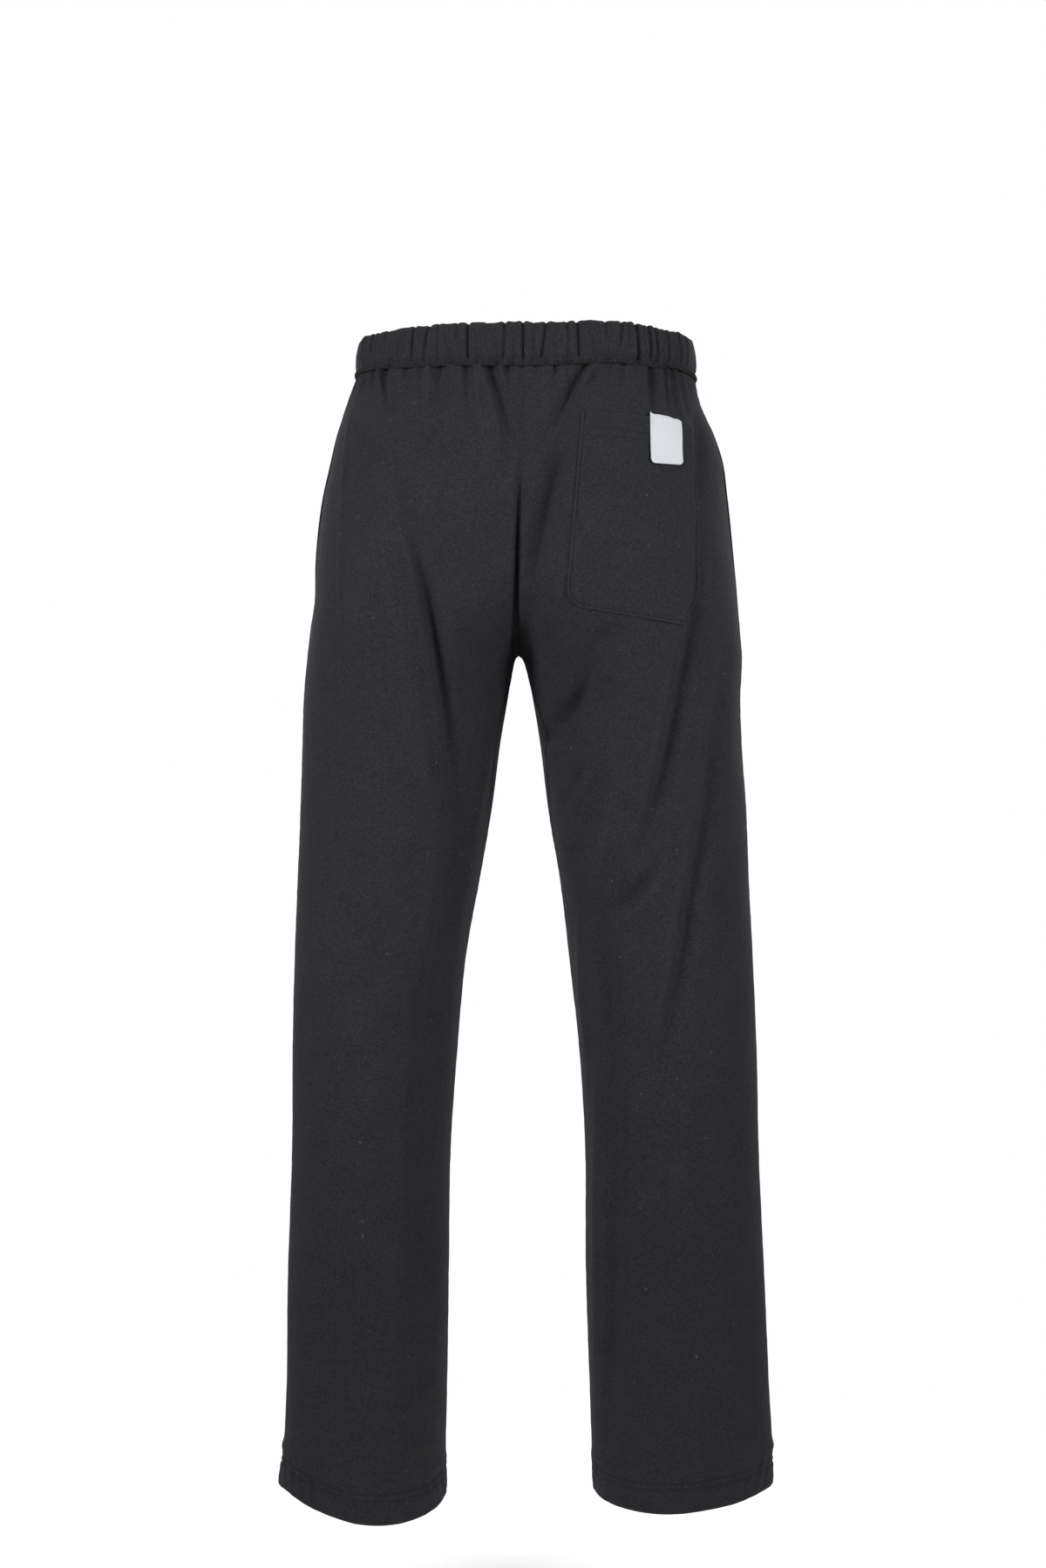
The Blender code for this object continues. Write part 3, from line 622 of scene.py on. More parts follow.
def relief(side, face, angle, level, place):
    """How far the finished outer skin stands off the bare form, in millimetres."""
    x, z = place[..., 0], place[..., 2]
    height = np.zeros_like(x)
    for sign, folds, gathers, waves in DRAWN:
        facing = sign * np.sin(angle)
        height += line_relief(folds, x, z) * ramp(facing, *FOLD_FADE)
        height += wave_relief(waves, x, z) * ramp(facing, *WAVE_FADE)
        height += GATHER_SHARE * line_relief(gathers, x, z, True) * ramp(facing, *GATHER_FADE)
    start, end = side_seam(level), inner_seam(side, face, level)
    reach = half_section(side, face, level)[2]
    radius = np.where(level > CROTCH_LEVEL, np.minimum(reach, HIP_RADIUS), reach)
    from_side = np.abs(angle - start) * HIP_RADIUS
    from_inner = np.abs(end - angle) * np.maximum(radius, LEAST_RADIUS)
    share = np.abs(angle - start) / np.maximum(np.abs(end - start), 1e-6)
    puckers = pucker_relief(PUCKERS[side, face], share * PANEL_WIDTH_AT_WAIST, WAIST_LEVEL - level)
    height += puckers * ramp(np.minimum(from_side, from_inner), 0, 5)
    height += seam_relief(from_inner, level) + side_relief(face, from_side, level)
    height += hem_relief(angle, level)
    return height - WAIST_TUCK * ramp(level, WAIST_LEVEL - 1.8, WAIST_LEVEL + 1)


print("relief ready")

# %% From the skin to the scene
WAIST_TILT = 4.0
WAIST_TILT_ENDS = -160.0
WAIST_WAVE = 3.2
# how far the waist's seam rises, its x and its spread
SEAM_RISES = ((4.6, 135, 34), (4, -131, 17), (-1.3, 0, 52))


def settle(points):
    """Tilts the waist up at the back, lets it wave a little, and turns millimetres to metres."""
    points = np.array(points, float)
    x, y, z = points[..., 0], points[..., 1], points[..., 2]
    z += ramp(z, WAIST_TILT_ENDS, WAIST_LEVEL) * WAIST_TILT * y / SIZE["back"](WAIST_LEVEL)
    shift = WAIST_WAVE * (bell(x + 78, 34) - 0.35 * bell(x - 120, 26)) * ramp(y, -20, 60)
    low = ramp(z, 14, WAIST_LEVEL) * ramp(y, -70, 10)
    for height, middle, width in SEAM_RISES:
        shift = shift + low * height * bell(x - middle, width)
    z += shift * ramp(z, -75, WAIST_LEVEL)
    return points * MM


def skin(side, face, angle, level, lift=0.0):
    """A point that stands off the finished outer skin by lift, in millimetres."""
    place = bare_point(side, angle, level)
    height = relief(side, face, angle, level, place)
    return place + outward(side, angle, level) * (height + lift)[..., None]


print("the waist tilts up", WAIST_TILT, "mm at the back")

# %% [markdown]
# ## A helper that weaves a sheet
# Every piece of cloth starts as a flat grid from one bmesh operator. A piece's own function then
# says where each point of the grid goes. Cloth has two sides, so the grid runs down the outside,
# round the fold at the hem and up the inside again, and its two edges are welded: that gives a
# closed, thin wall without a modifier. The helper also measures the finished sheet and writes its
# real length and width, in metres, as a UV map, so that the knit runs along the cloth.

# %% Grids and lengths
def steps(*spans):
    """Levels from a few (start, end, spacing) spans."""
    levels = []
    for start, end, spacing in spans:
        count = max(1, round(abs(end - start) / spacing))
        levels += list(np.linspace(start, end, count, endpoint=False))
    return levels + [spans[-1][1]]


def crowd(share):
    """Shares from 0 to 1, drawn closer together near both ends."""
    return share - 0.5 / FULL_TURN * np.sin(FULL_TURN * share)


def measured(points, axis):
    """Distance along a grid, from its start."""
    step = np.linalg.norm(np.diff(points, axis=axis), axis=-1)
    start = np.zeros_like(np.take(step, [0], axis=axis))
    return np.concatenate([start, np.cumsum(step, axis=axis)], axis=axis)


def at_length(length, far, values):
    """Values that a line has at some lengths along it."""
    return np.stack([np.interp(length, far, column) for column in values.T], axis=-1)


def rim(from_edge, width):
    """1 inside a sheet, and 0 at its edge in a round curve."""
    return np.clip(from_edge / width, 0, 1) ** 0.5


def read(items, field, width=1, kind=float):
    """One number, or a few, of every point, corner or face."""
    values = np.empty(len(items) * width, kind)
    items.foreach_get(field, values)
    return values.reshape(-1, width) if width > 1 else values


print("a quarter is drawn to", round(float(crowd(0.25)), 3))

# %% Weave a sheet from a grid
WELD = 0.000001


def weave(name, columns, rows, place, material):
    """A grid of columns and rows, put in place by place(across, along), which gives points in
    metres and how worn the cloth is there, both as arrays of the grid's shape."""
    bm = bmesh.new()
    bmesh.ops.create_grid(bm, x_segments=columns, y_segments=rows, size=0.5)
    mesh = bpy.data.meshes.new(name)
    bm.to_mesh(mesh)
    bm.free()
    unit = read(mesh.vertices, "co", 3)[:, :2] + 0.5
    order = np.lexsort((unit[:, 0].round(6), unit[:, 1].round(6)))
    undo = np.argsort(order)
    shape = (rows + 1, columns + 1)
    points, worn = place(*(unit[order, i].reshape(shape) for i in (0, 1)))
    middle = [columns // 2]
    width, length = measured(points, 1), measured(points, 0)[:, middle]
    cloth = np.stack(np.broadcast_arrays(width - width[:, middle], length), axis=-1)
    mesh.vertices.foreach_set("co", points.reshape(-1, 3)[undo].ravel())
    corner = read(mesh.loops, "vertex_index", kind=int)
    cloth_map = mesh.uv_layers.new(name="cloth")
    cloth_map.data.foreach_set("uv", cloth.reshape(-1, 2)[undo][corner].ravel())
    rubbed = mesh.attributes.new("worn", "FLOAT", "POINT")
    rubbed.data.foreach_set("value", np.broadcast_to(worn, shape).ravel()[undo])
    return close_up(mesh, material)


def close_up(mesh, material):
    """Welds the edges that meet, turns the faces outwards and makes the object."""
    bm = bmesh.new()
    bm.from_mesh(mesh)
    bmesh.ops.remove_doubles(bm, verts=bm.verts[:], dist=WELD)
    bmesh.ops.dissolve_degenerate(bm, edges=bm.edges[:], dist=WELD / 10)
    bmesh.ops.recalc_face_normals(bm, faces=bm.faces[:])
    loose = sum(not edge.is_manifold for edge in bm.edges)
    bm.to_mesh(mesh)
    bm.free()
    mesh.shade_smooth()
    mesh.materials.append(material)
    print(mesh.name, len(mesh.polygons), "faces,", loose, "open edges")
    return show(mesh.name, mesh)


# %% [markdown]
# ## The knit
# Sweatpants are cut from loopback or brushed knit. Its outside is plain stocking stitch: upright
# ribs of small V-shaped loops, about one each millimetre. A photograph of such loops would not
# follow the cloth, so the loops are computed from the UV map, as bump and a trace of tone, under
# a soft fuzz. Black cloth reflects one to three percent of the light. Its fuzz catches a little
# more at grazing angles, which the sheen of the shader gives, and worn edges turn slightly grey.

# %% Node helper
class Nodes:
    """A short way to write a material: each call adds a node and gives back one output."""

    def __init__(self, name):
        self.material = bpy.data.materials.new(name)
        self.material.use_nodes = True
        self.tree = self.material.node_tree

    def put(self, socket, value):
        if isinstance(value, bpy.types.NodeSocket):
            self.tree.links.new(value, socket)
        elif value is not None:
            socket.default_value = value

    def add(self, kind, *inputs, out=0, sockets=None, **settings):
        node = self.tree.nodes.new("ShaderNode" + kind)
        for key, value in settings.items():
            setattr(node, key, value)
        for key, value in {**dict(enumerate(inputs)), **(sockets or {})}.items():
            self.put(node.inputs[key], value)
        return node.outputs[out]

    def math(self, operation, a, b=None, c=None):
        return self.add("Math", a, b, c, operation=operation)

    def sine(self, value, turns):
        return self.math("SINE", self.math("MULTIPLY", value, turns))

    def noise(self, vector, scale, detail=2):
        sockets = {"Vector": vector, "Scale": scale, "Detail": detail}
        return self.add("TexNoise", out="Fac", sockets=sockets)

    def blend(self, factor, first, second):
        """A mix of two colours, which are the seventh and eighth input of the node."""
        sockets = {0: factor, 6: first, 7: second}
        return self.add("Mix", out=2, sockets=sockets, data_type="RGBA")

    def bump(self, height, strength, distance, normal=None):
        sockets = {"Strength": strength, "Distance": distance, "Height": height, "Normal": normal}
        return self.add("Bump", sockets=sockets)

    def split(self, vector):
        """The X and Y of a vector."""
        x = self.add("SeparateXYZ", vector)
        return x, x.node.outputs["Y"]

    def surface(self, sockets):
        """Sets the shader, which every new material has, and gives back the material."""
        for key, value in sockets.items():
            self.put(self.tree.nodes["Principled BSDF"].inputs[key], value)
        return self.material


# %% Brushed knit
WALE, COURSE = 0.00115, 0.00092
BLACK, DARK_GREY = (0.0118, 0.0119, 0.0135, 1), (0.0321, 0.0323, 0.035, 1)
LINT = (0.11, 0.11, 0.11, 1)


def brushed_knit(name, wale=WALE):
    """Black knit: loops of one wale by one course, fuzz, mixed grain, lint and worn edges."""
    n = Nodes(name)
    solid = n.add("TexCoord", out=3)
    sideways, upwards = n.split(n.add("UVMap", uv_map="cloth"))
    wander = n.noise(solid, 420)
    sideways = n.math("MULTIPLY_ADD", wander, 0.5, n.math("DIVIDE", sideways, wale))
    upwards = n.math("MULTIPLY_ADD", wander, 0.6, n.math("DIVIDE", upwards, COURSE))
    leg = n.math("PINGPONG", sideways, 0.5)
    loops = n.sine(n.math("MULTIPLY_ADD", leg, 0.9, upwards), FULL_TURN)
    ribs = n.math("MULTIPLY", n.sine(leg, FULL_TURN), 0.65)
    height = n.math("MULTIPLY_ADD", loops, 0.35, ribs)
    fuzz, grain, tufts = n.noise(solid, 1900, 3), n.noise(solid, 900, 1), n.noise(solid, 430)
    mottled, specks = n.noise(solid, 34, 3), n.noise(solid, 330, 0)
    worn = n.add("Attribute", out=2, attribute_name="worn")
    tone = -1.12
    for layer, share in (
        (height, 0.12), (grain, 1.7), (tufts, 0.8), (fuzz, 0.4), (mottled, 0.3), (worn, 0.5)
    ):
        tone = n.math("MULTIPLY_ADD", layer, share, tone)
    lint = n.add("MapRange", specks, 0.855, 0.9, 0, 0.6)
    normal = n.bump(height, 0.6, 0.00022)
    normal = n.bump(fuzz, 0.5, 0.00018, n.bump(tufts, 0.5, 0.0004, normal))
    return n.surface({
        "Base Color": n.blend(lint, n.blend(tone, BLACK, DARK_GREY), LINT),
        "Roughness": n.math("MULTIPLY_ADD", fuzz, 0.1, 0.9),
        "Normal": normal,
        "Sheen Weight": 0.03,
        "Sheen Roughness": 0.45,
        "Sheen Tint": (0.9, 0.93, 1, 1),
        "Specular IOR Level": 0.1,
    })


KNIT = brushed_knit("brushed_black_knit")
print("knit with", round(MM / WALE, 2), "ribs for each millimetre")

# %% [markdown]
# ## The leg panels
# Four panels make the trousers: a back and a front for each leg, joined at the side seams, the
# inseams and the centre seams. The grid's columns lie closer together near the seams and its rows
# closer together under the waistband, at the crotch and at the hem, where the small forms are.
# The wall is 1.8 mm thick and 3.4 mm where the hem is turned up.

# %% Make the four panels
CLOTH, HEM_CLOTH = 1.8, 3.4
PANEL_COLUMNS = 160
OUTSIDE = steps(
    (WAIST_LEVEL + 1.5, -78, 1.5),
    (-78, -250, 3),
    (-250, -345, 2.8),
    (-345, -500, 3.4),
    (-500, HEM_LEVEL + 36, 6.5),
    (HEM_LEVEL + 36, HEM_LEVEL + HEM_CLOTH / 2, 1.25),
)
FOLD_ROWS = 5
PANEL_LEVELS = np.array(OUTSIDE + [HEM_LEVEL] * FOLD_ROWS + OUTSIDE[::-1])
PANEL_TURN = math.pi * np.concatenate([
    np.zeros(len(OUTSIDE)), np.linspace(0, 1, FOLD_ROWS + 2)[1:-1], np.ones(len(OUTSIDE))
])


def panel_place(side, face):
    def place(across, along):
        row = np.rint(along * (len(PANEL_LEVELS) - 1)).astype(int)
        level, turn = PANEL_LEVELS[row], PANEL_TURN[row]
        spread = crowd(across)
        angle = panel_angle(side, face, spread, level)
        hem = ramp(level, HEM_LEVEL + HEM_DEPTH + 0.4, HEM_LEVEL + HEM_DEPTH - 0.4)
        reach = np.maximum(half_section(side, face, level)[2], LEAST_RADIUS)
        span = np.abs(inner_seam(side, face, level) - side_seam(level)) * reach
        wall = between(CLOTH, HEM_CLOTH, hem) * rim(nearer(spread) * span, 1.2)
        wall = wall * ramp(level, WAIST_LEVEL + 1.5, WAIST_LEVEL - 1)
        points = skin(side, face, angle, level, (np.cos(turn) - 1) / 2 * wall)
        points[..., 2] += (level == HEM_LEVEL) * HEM_CLOTH / 2 * (1 - np.sin(turn))
        apart = np.where(level > CROTCH_LEVEL - 1, centre_line(level) - points[:, -1:, 0], 0)
        points[..., 0] += apart * bell((1 - spread) * span, 7)
        height = relief(side, face, angle, level, bare_point(side, angle, level))
        worn = np.clip(height / 9, 0, 0.5) + 0.5 * bell(level - HEM_LEVEL, 2.2)
        return settle(points), worn

    return place


panels = {}
for side in SIDES:
    for face in FACES:
        node = f"{face}_panel_{side}"
        panels[node] = weave(
            f"cloth_{node}", PANEL_COLUMNS, len(PANEL_LEVELS) - 1, panel_place(side, face), KNIT
        )

# %% [markdown]
# ## The waistband
# A wide elastic runs in a casing of the same cloth, sewn on with a thick overlocked seam. The
# casing is closed here by sweeping its section round the waist: a grid whose columns go round the
# waist and whose rows go round the section, from the seam's roll up the outside, over the top and
# down the inside. Each pleat behind has its own row in a table; the front is strewn from a seed.

# %% The ring of the waist
RING_COUNT = 4001


def waist_angle(share):
    """The angle at a share of the way round the waist, from the back's middle to the left."""
    return math.pi / 2 - np.where(share < 0.5, share, 1 - share) * FULL_TURN


def waist_ring():
    """Points, outward directions and lengths round the waist, from the back's middle."""
    share = np.linspace(0, 1, RING_COUNT)
    angle, waist = waist_angle(share), np.full_like(share, WAIST_LEVEL)
    points, normals = np.empty((2, RING_COUNT, 3))
    for side, used in (("left", share < 0.5), ("right", share >= 0.5)):
        points[used] = bare_point(side, angle[used], waist[used])
        normals[used] = outward(side, angle[used], waist[used])
    normals[:, 2] = 0
    normals /= np.linalg.norm(normals, axis=1, keepdims=True)
    return points, normals, measured(points, 0)


ring_points, ring_normals, ring_length = waist_ring()
waist_girth = float(ring_length[-1])


def ring_dips():
    """How the gathered cloth below moves in and out along the seam."""
    share = ring_length / waist_girth
    angle, level = waist_angle(share), np.full_like(share, WAIST_LEVEL - 4)
    dips = np.empty_like(share)
    for side, used in (("left", share < 0.5), ("right", share >= 0.5)):
        for face, facing in (("back", angle >= 0), ("front", angle < 0)):
            k = used & facing
            place = bare_point(side, angle[k], level[k])
            dips[k] = relief(side, face, angle[k], level[k], place)
    dips -= dips.mean()
    return dips + (dips[0] - dips[-1]) * share**60


def round_waist(length, out, height, aside=0.0):
    """Points at a length round the waist, out from its ring, at a height and moved along it."""
    at = at_length(length, ring_length, ring_points)
    way = at_length(length, ring_length, ring_normals)
    x = at[..., 0] + way[..., 0] * out - way[..., 1] * aside
    y = at[..., 1] + way[..., 1] * out + way[..., 0] * aside
    return np.stack(np.broadcast_arrays(x, y, height), axis=-1)


RING_DIPS = ring_dips()
print("waist girth", round(waist_girth), "mm")

# %% Waistband section and pleats
# height and how far out, in mm, once round the section from the bottom
BAND_SECTION = (
    (-18, -3), (-18.8, -1.5), (-18.9, -0.1), (-17.9, 1), (-16.3, 1.3), (-14.9, 0.6),
    (-13.9, -0.6), (-12.7, -0.6), (-10, 0.4), (-5, 0.9), (1, 0.6), (7, -0.1),
    (11.5, -1), (14.8, -1.9), (16.9, -2.8), (18.2, -4.3), (18.2, -6.2), (16.9, -7.8),
    (13.5, -8.5), (6, -8), (-2, -7.2), (-10, -6.3), (-16, -5.6), (-17.8, -4.4),
)
# x at mid height, lean per mm of height, depth, width, lowest and highest end
BACK_PLEATS = table("""
131.5 0.05 2.99 1.56 -2 20
119 0 1.49 1.22 6 20
95 0 2.07 1.36 -14 20
83.6 -0.12 2.07 1.36 -14 20
73.5 0 1.03 1.09 -14 20
57.2 0 1.49 1.16 4 20
47.1 0.03 3.1 1.56 -14 20
31.5 0 1.03 1.09 4 20
16.4 -0.04 2.18 1.36 -14 20
0 0 2.99 1.29 -14 20
-8.9 0 1.03 1.09 -14 20
-17.6 -0.15 2.88 1.5 -14 20
-38.6 0 1.03 1.09 -14 20
-47.3 0.03 2.99 1.56 -14 20
-71.7 0 1.84 1.36 5 20
-83.4 -0.18 2.07 1.43 -4 20
-98.9 0.03 3.1 1.56 -14 20
-109.6 0 2.42 1.36 -14 20
-115.6 0 1.95 1.22 -14 20
-125.6 0 1.95 1.22 -14 20
-136.6 0 2.76 1.43 -14 20
-142.6 -0.2 1.95 1.29 -14 20
139.5 0.06 2.07 1.29 -14 20
107 0.05 1.15 1.22 -14 8
65 0.06 0.8 1.5 -14 8
38.5 0 0.8 1.5 -14 4
7.6 0.03 0.92 1.22 -14 2
-28 0.03 0.92 1.36 -14 6
-60 0.08 1.03 1.5 -14 4
-91 0 0.92 1.22 0 20
""")
FRONT_PLEATS = 38
FRONT_CREASES = 150
PLEAT_SHARE, PLEAT_PUFF, PLEAT_REACH = 0.86, 0.3, 6


def pleat_table():
    """Every pleat as place round the waist, lean, depth, width, and its two ends."""
    rows = []
    for x, *rest in BACK_PLEATS:
        left = x > ring_points[0, 0]
        near = ring_length < waist_girth / 4 if left else ring_length > waist_girth * 3 / 4
        k = np.flatnonzero(near)[np.argmin(np.abs(ring_points[near, 0] - x))]
        rows.append((ring_length[k], *rest))
    rng = np.random.default_rng(41)
    start, end = waist_girth * 0.235, waist_girth * 0.765
    for k in range(FRONT_PLEATS):
        place = between(start, end, (k + rng.uniform(0.15, 0.85)) / FRONT_PLEATS)
        deep = rng.choice([2.6, 2.0, 1.5, 0.9], p=[0.3, 0.3, 0.25, 0.15])
        low = -14 if deep > 1.2 else rng.choice([-14.0, 3.0])
        rows.append((place, rng.uniform(-0.12, 0.12), deep, rng.uniform(1.2, 1.7), low, 20))
    for k in range(FRONT_CREASES):
        low = rng.uniform(-16, 12)
        high = low + rng.uniform(8, 24)
        slant = rng.uniform(-0.25, 0.25)
        place = rng.uniform(0, waist_girth)
        rows.append((place, slant, rng.uniform(0.15, 0.45), rng.uniform(0.9, 1.7), low, high))
    return rows


PLEATS = pleat_table()


def pleat_relief(length, height):
    relief = np.zeros_like(length)
    for place, lean, depth, width, low, high in PLEATS:
        apart = length - place - lean * height
        apart = (apart + waist_girth / 2) % waist_girth - waist_girth / 2
        near = np.abs(apart) < PLEAT_REACH * width
        z, a = height[near], apart[near] / width
        within = ramp(z, low - 3, low + 3) * ramp(z, high + 3, high - 3)
        puff = PLEAT_PUFF * (bell(a - 2.6, 1.5) + bell(a + 2.6, 1.5))
        relief[near] += PLEAT_SHARE * depth * within * (puff - bell(a, 1))
    return relief


print(len(PLEATS), "pleats and creases")

# %% Make the waistband
BAND_COLUMNS = 1440
ROLL_STITCHES = 282
ROLL_END = 0.125
BAND_SHARES = np.concatenate([np.linspace(0, ROLL_END, 16)[:-1], np.linspace(ROLL_END, 1, 30)])
BAND_ROWS = len(BAND_SHARES) - 1


def smooth_section(shares):
    """Height and offset at shares of the way round the section, a closed smooth curve."""
    closed = np.array([*BAND_SECTION, BAND_SECTION[0]])
    far = measured(closed, 0)
    fine = at_length(np.linspace(0, far[-1], 24 * len(BAND_SECTION) + 1), far, closed)[:-1]
    kernel = np.hanning(17) / np.hanning(17).sum()
    wrapped = np.vstack([fine[-8:], fine, fine[:8]])
    fine = np.stack([np.convolve(column, kernel, "valid") for column in wrapped.T], axis=1)
    fine = np.vstack([fine, fine[:1]])
    far = measured(fine, 0)
    return at_length(shares * far[-1], far, fine)


def band_place(across, along):
    length = across * waist_girth
    row = np.rint(along * BAND_ROWS).astype(int)
    share = BAND_SHARES[row]
    height, out = (smooth_section(BAND_SHARES)[row, i] for i in (0, 1))
    outside = ramp(share, ROLL_END - 0.03, ROLL_END + 0.01) * ramp(share, 0.62, 0.5)
    inside = ramp(share, 0.56, 0.66) * ramp(share, 1, 0.92)
    roll = ramp(share, ROLL_END - 0.005, ROLL_END - 0.03) * ramp(share, 0, 0.025)
    low = ramp(share, 0.2, 0.08) + ramp(share, 0.9, 1)
    creases = pleat_relief(length, height)
    once = FULL_TURN * across
    pinch = 0.2 * np.sin(once * ROLL_STITCHES + height) * roll
    dips = np.interp(length, ring_length, RING_DIPS)
    out = out + creases * (outside - 0.55 * inside + 0.25 * roll) + pinch + 0.55 * dips * low
    rise = np.sin(once * 25) + np.sin(once * 15 + 1) + np.sin(once * 42 + 2)
    height = height + ramp(height, 9, 18) * (0.42 * creases + 0.28 * rise)
    worn = np.clip(creases / 4, 0, 0.4) + 0.35 * ramp(height, 13, 18)
    return settle(round_waist(length, out, height)), worn


BAND_KNIT = brushed_knit("waistband_knit")
waistband = weave("cloth_waistband", BAND_COLUMNS, BAND_ROWS, band_place, BAND_KNIT)

# %% [markdown]
# ## The patch pocket
# One square pocket with a rounded inner and outer foot is sewn on the wearer's right seat. Its
# edges are turned under and stitched close to the fold, its mouth is turned in and stitched
# across. It is made on the seat: its outline is drawn as seen from behind, each point of it is
# put on the skin of the seat, and the cloth's thickness is added on top.

# %% Places on the right seat
POCKET_MOUTH = ((-49.7, -58.3), (-153.6, -65.3))
POCKET_FOOT = ((-35.3, -225), (-151.5, -237.7))
POCKET_CORNERS = ((22, 20), (18, 42))
CORNER_SHARE = 0.3
SEAT_CLEARANCE = 0.15


def on_seat(x, z, lift):
    """Points over the wearer's right seat that show at x from behind, and the outward way."""
    middle, outwards, inwards = half_section("right", "back", z)
    beside = centre_line(z) - x - middle
    share = beside / np.where(beside > 0, outwards, inwards)
    angle = np.arccos(np.clip(signed_power(share, SIZE["fullness"](z) / 2), -1, 1))
    return skin("right", "back", angle, z, lift), outward("right", angle, z)


def pocket_side(mouth, foot, corner, inwards, down):
    """x and z down one side of the pocket, where its foot turns inwards in a round corner."""
    plain = np.clip(down / (1 - CORNER_SHARE), 0, 1)
    turned = np.clip((down - 1 + CORNER_SHARE) / CORNER_SHARE, 0, 1) * math.pi / 2
    straight = 1 - corner[1] / (mouth[1] - foot[1])
    fallen = plain * straight + (1 - straight) * np.sin(turned)
    x = between(mouth[0], foot[0], fallen) + inwards * corner[0] * (1 - np.cos(turned))
    return x, between(mouth[1], foot[1], fallen)


def pocket_outline(across, down):
    """x and z of the pocket: across from its inner edge, down from its mouth."""
    inner, outer = (
        pocket_side(*row, down) for row in zip(POCKET_MOUTH, POCKET_FOOT, POCKET_CORNERS, (-1, 1))
    )
    return [between(a, b, across) for a, b in zip(inner, outer)]


share = np.linspace(0, 1, 700)
POCKET_EDGE = np.concatenate([
    np.stack(pocket_outline(across, down), axis=1)
    for across, down in ((0, share), (share, 1), (1, share[::-1]))
])


def from_sewn_edge(x, z):
    """How far each point is from the pocket's inner side, foot and outer side."""
    flat = np.stack([x.ravel(), z.ravel()], axis=1)
    nearest = [np.min(np.hypot(*(POCKET_EDGE - point).T)) for point in flat]
    return np.array(nearest).reshape(x.shape)


print("pocket outline has", len(POCKET_EDGE), "points")

# %% Make the pocket
POCKET_CLOTH = 1.5
POCKET_HEM = 21.0
POCKET_STITCH_INSET = 3.0
POCKET_HEM_ROWS = (14.0, 20.5)
POCKET_COLUMNS, POCKET_DOWN = 104, 88
MOUTH_LENGTH = 104.0
LEAST_EDGE = 0.08


def pocket_relief(edge, below):
    """Height of the pocket's face over the seat, from its edge and from its mouth."""
    body = POCKET_CLOTH * (1 - bell(edge, 0.6))
    allowance = 0.3 * ramp(edge, 11, 8) * ramp(edge, 0.4, 1.6)
    hem = 0.4 * ramp(below, POCKET_HEM + 2, POCKET_HEM) * ramp(edge, 0.4, 1.6)
    pulled = 0.8 * bell(edge - POCKET_STITCH_INSET, 0.75)
    for row in POCKET_HEM_ROWS:
        pulled = pulled + 0.4 * bell(below - row, 0.9) * ramp(edge, 3, 6)
    sag = 0.5 * bell(below, 26) * ramp(edge, 8, 40)
    return body + np.maximum(allowance, hem) - pulled + sag


def pocket_place(across, along):
    front = along < 0.5 + 0.1 / POCKET_DOWN
    down = np.abs(2 * along - 1)
    x, z = pocket_outline(crowd(across), down)
    below = between(POCKET_MOUTH[0][1], POCKET_MOUTH[1][1], crowd(across)) - z
    sewn = (across > 0) & (across < 1) & (down < 1)
    edge = np.where(sewn, np.maximum(from_sewn_edge(x, z), LEAST_EDGE), 0)
    height = pocket_relief(edge, below)
    lip = bell(below, 1) * ramp(edge, 0.4, 1.6)
    height = np.where(front, height - 0.5 * lip, np.minimum(0.25, 0.5 * height))
    worn = 0.5 * bell(below, 2) + 0.4 * bell(edge - 1.4, 1)
    return settle(on_seat(x, z, SEAT_CLEARANCE + height)[0]), worn


POCKET_KNIT = brushed_knit("pocket_knit", wale=0.00112)
pocket = weave("cloth_back_pocket", POCKET_COLUMNS, 2 * POCKET_DOWN, pocket_place, POCKET_KNIT)

# %% [markdown]
# ## The label
# A folded woven tape is caught in the pocket's mouth. It stays bare. Its weave is so fine that it
# only softens the shine, and its folded edges and rounded corners show that it is cloth.

# %% Woven tape
WARP, WEFT = 0.00042, 0.00036
PALE_GREY, WHITE = (0.46, 0.48, 0.51, 1), (0.62, 0.64, 0.67, 1)


def woven_tape(name):
    n = Nodes(name)
    sideways, upwards = n.split(n.add("UVMap", uv_map="cloth"))
    weave_height = n.math(
        "MULTIPLY", n.sine(sideways, FULL_TURN / WARP), n.sine(upwards, FULL_TURN / WEFT)
    )
    cloud = n.noise(n.add("TexCoord", out=3), 160, 3)
    worn = n.add("Attribute", out=2, attribute_name="worn")
    tone = n.math("MULTIPLY_ADD", worn, -0.5, n.math("MULTIPLY_ADD", cloud, 0.3, 0.6))
    return n.surface({
        "Base Color": n.blend(tone, PALE_GREY, WHITE),
        "Roughness": n.math("MULTIPLY_ADD", cloud, 0.1, 0.5),
        "Normal": n.bump(weave_height, 0.35, 0.00006),
        "Sheen Weight": 0.1,
    })


TAPE = woven_tape("white_woven_tape")
print("tape of", round(MM / WARP, 1), "threads for each millimetre")

# %% Make the label
LABEL_TOP = ((-107.2, -59), (-134.6, -64.6))
LABEL_WIDTH, LABEL_LENGTH = 27.4, 48
LABEL_FOOT = -102.6
LABEL_CLOTH, LABEL_CORNER, LABEL_LIFT = 0.8, 4.0, 3.15
LABEL_COLUMNS, LABEL_DOWN = 56, 72


def mouth_level(x):
    """The level of the pocket's mouth at x."""
    (outer_x, outer_z), (inner_x, inner_z) = reversed(POCKET_MOUTH)
    return np.interp(x, (outer_x, inner_x), (outer_z, inner_z))


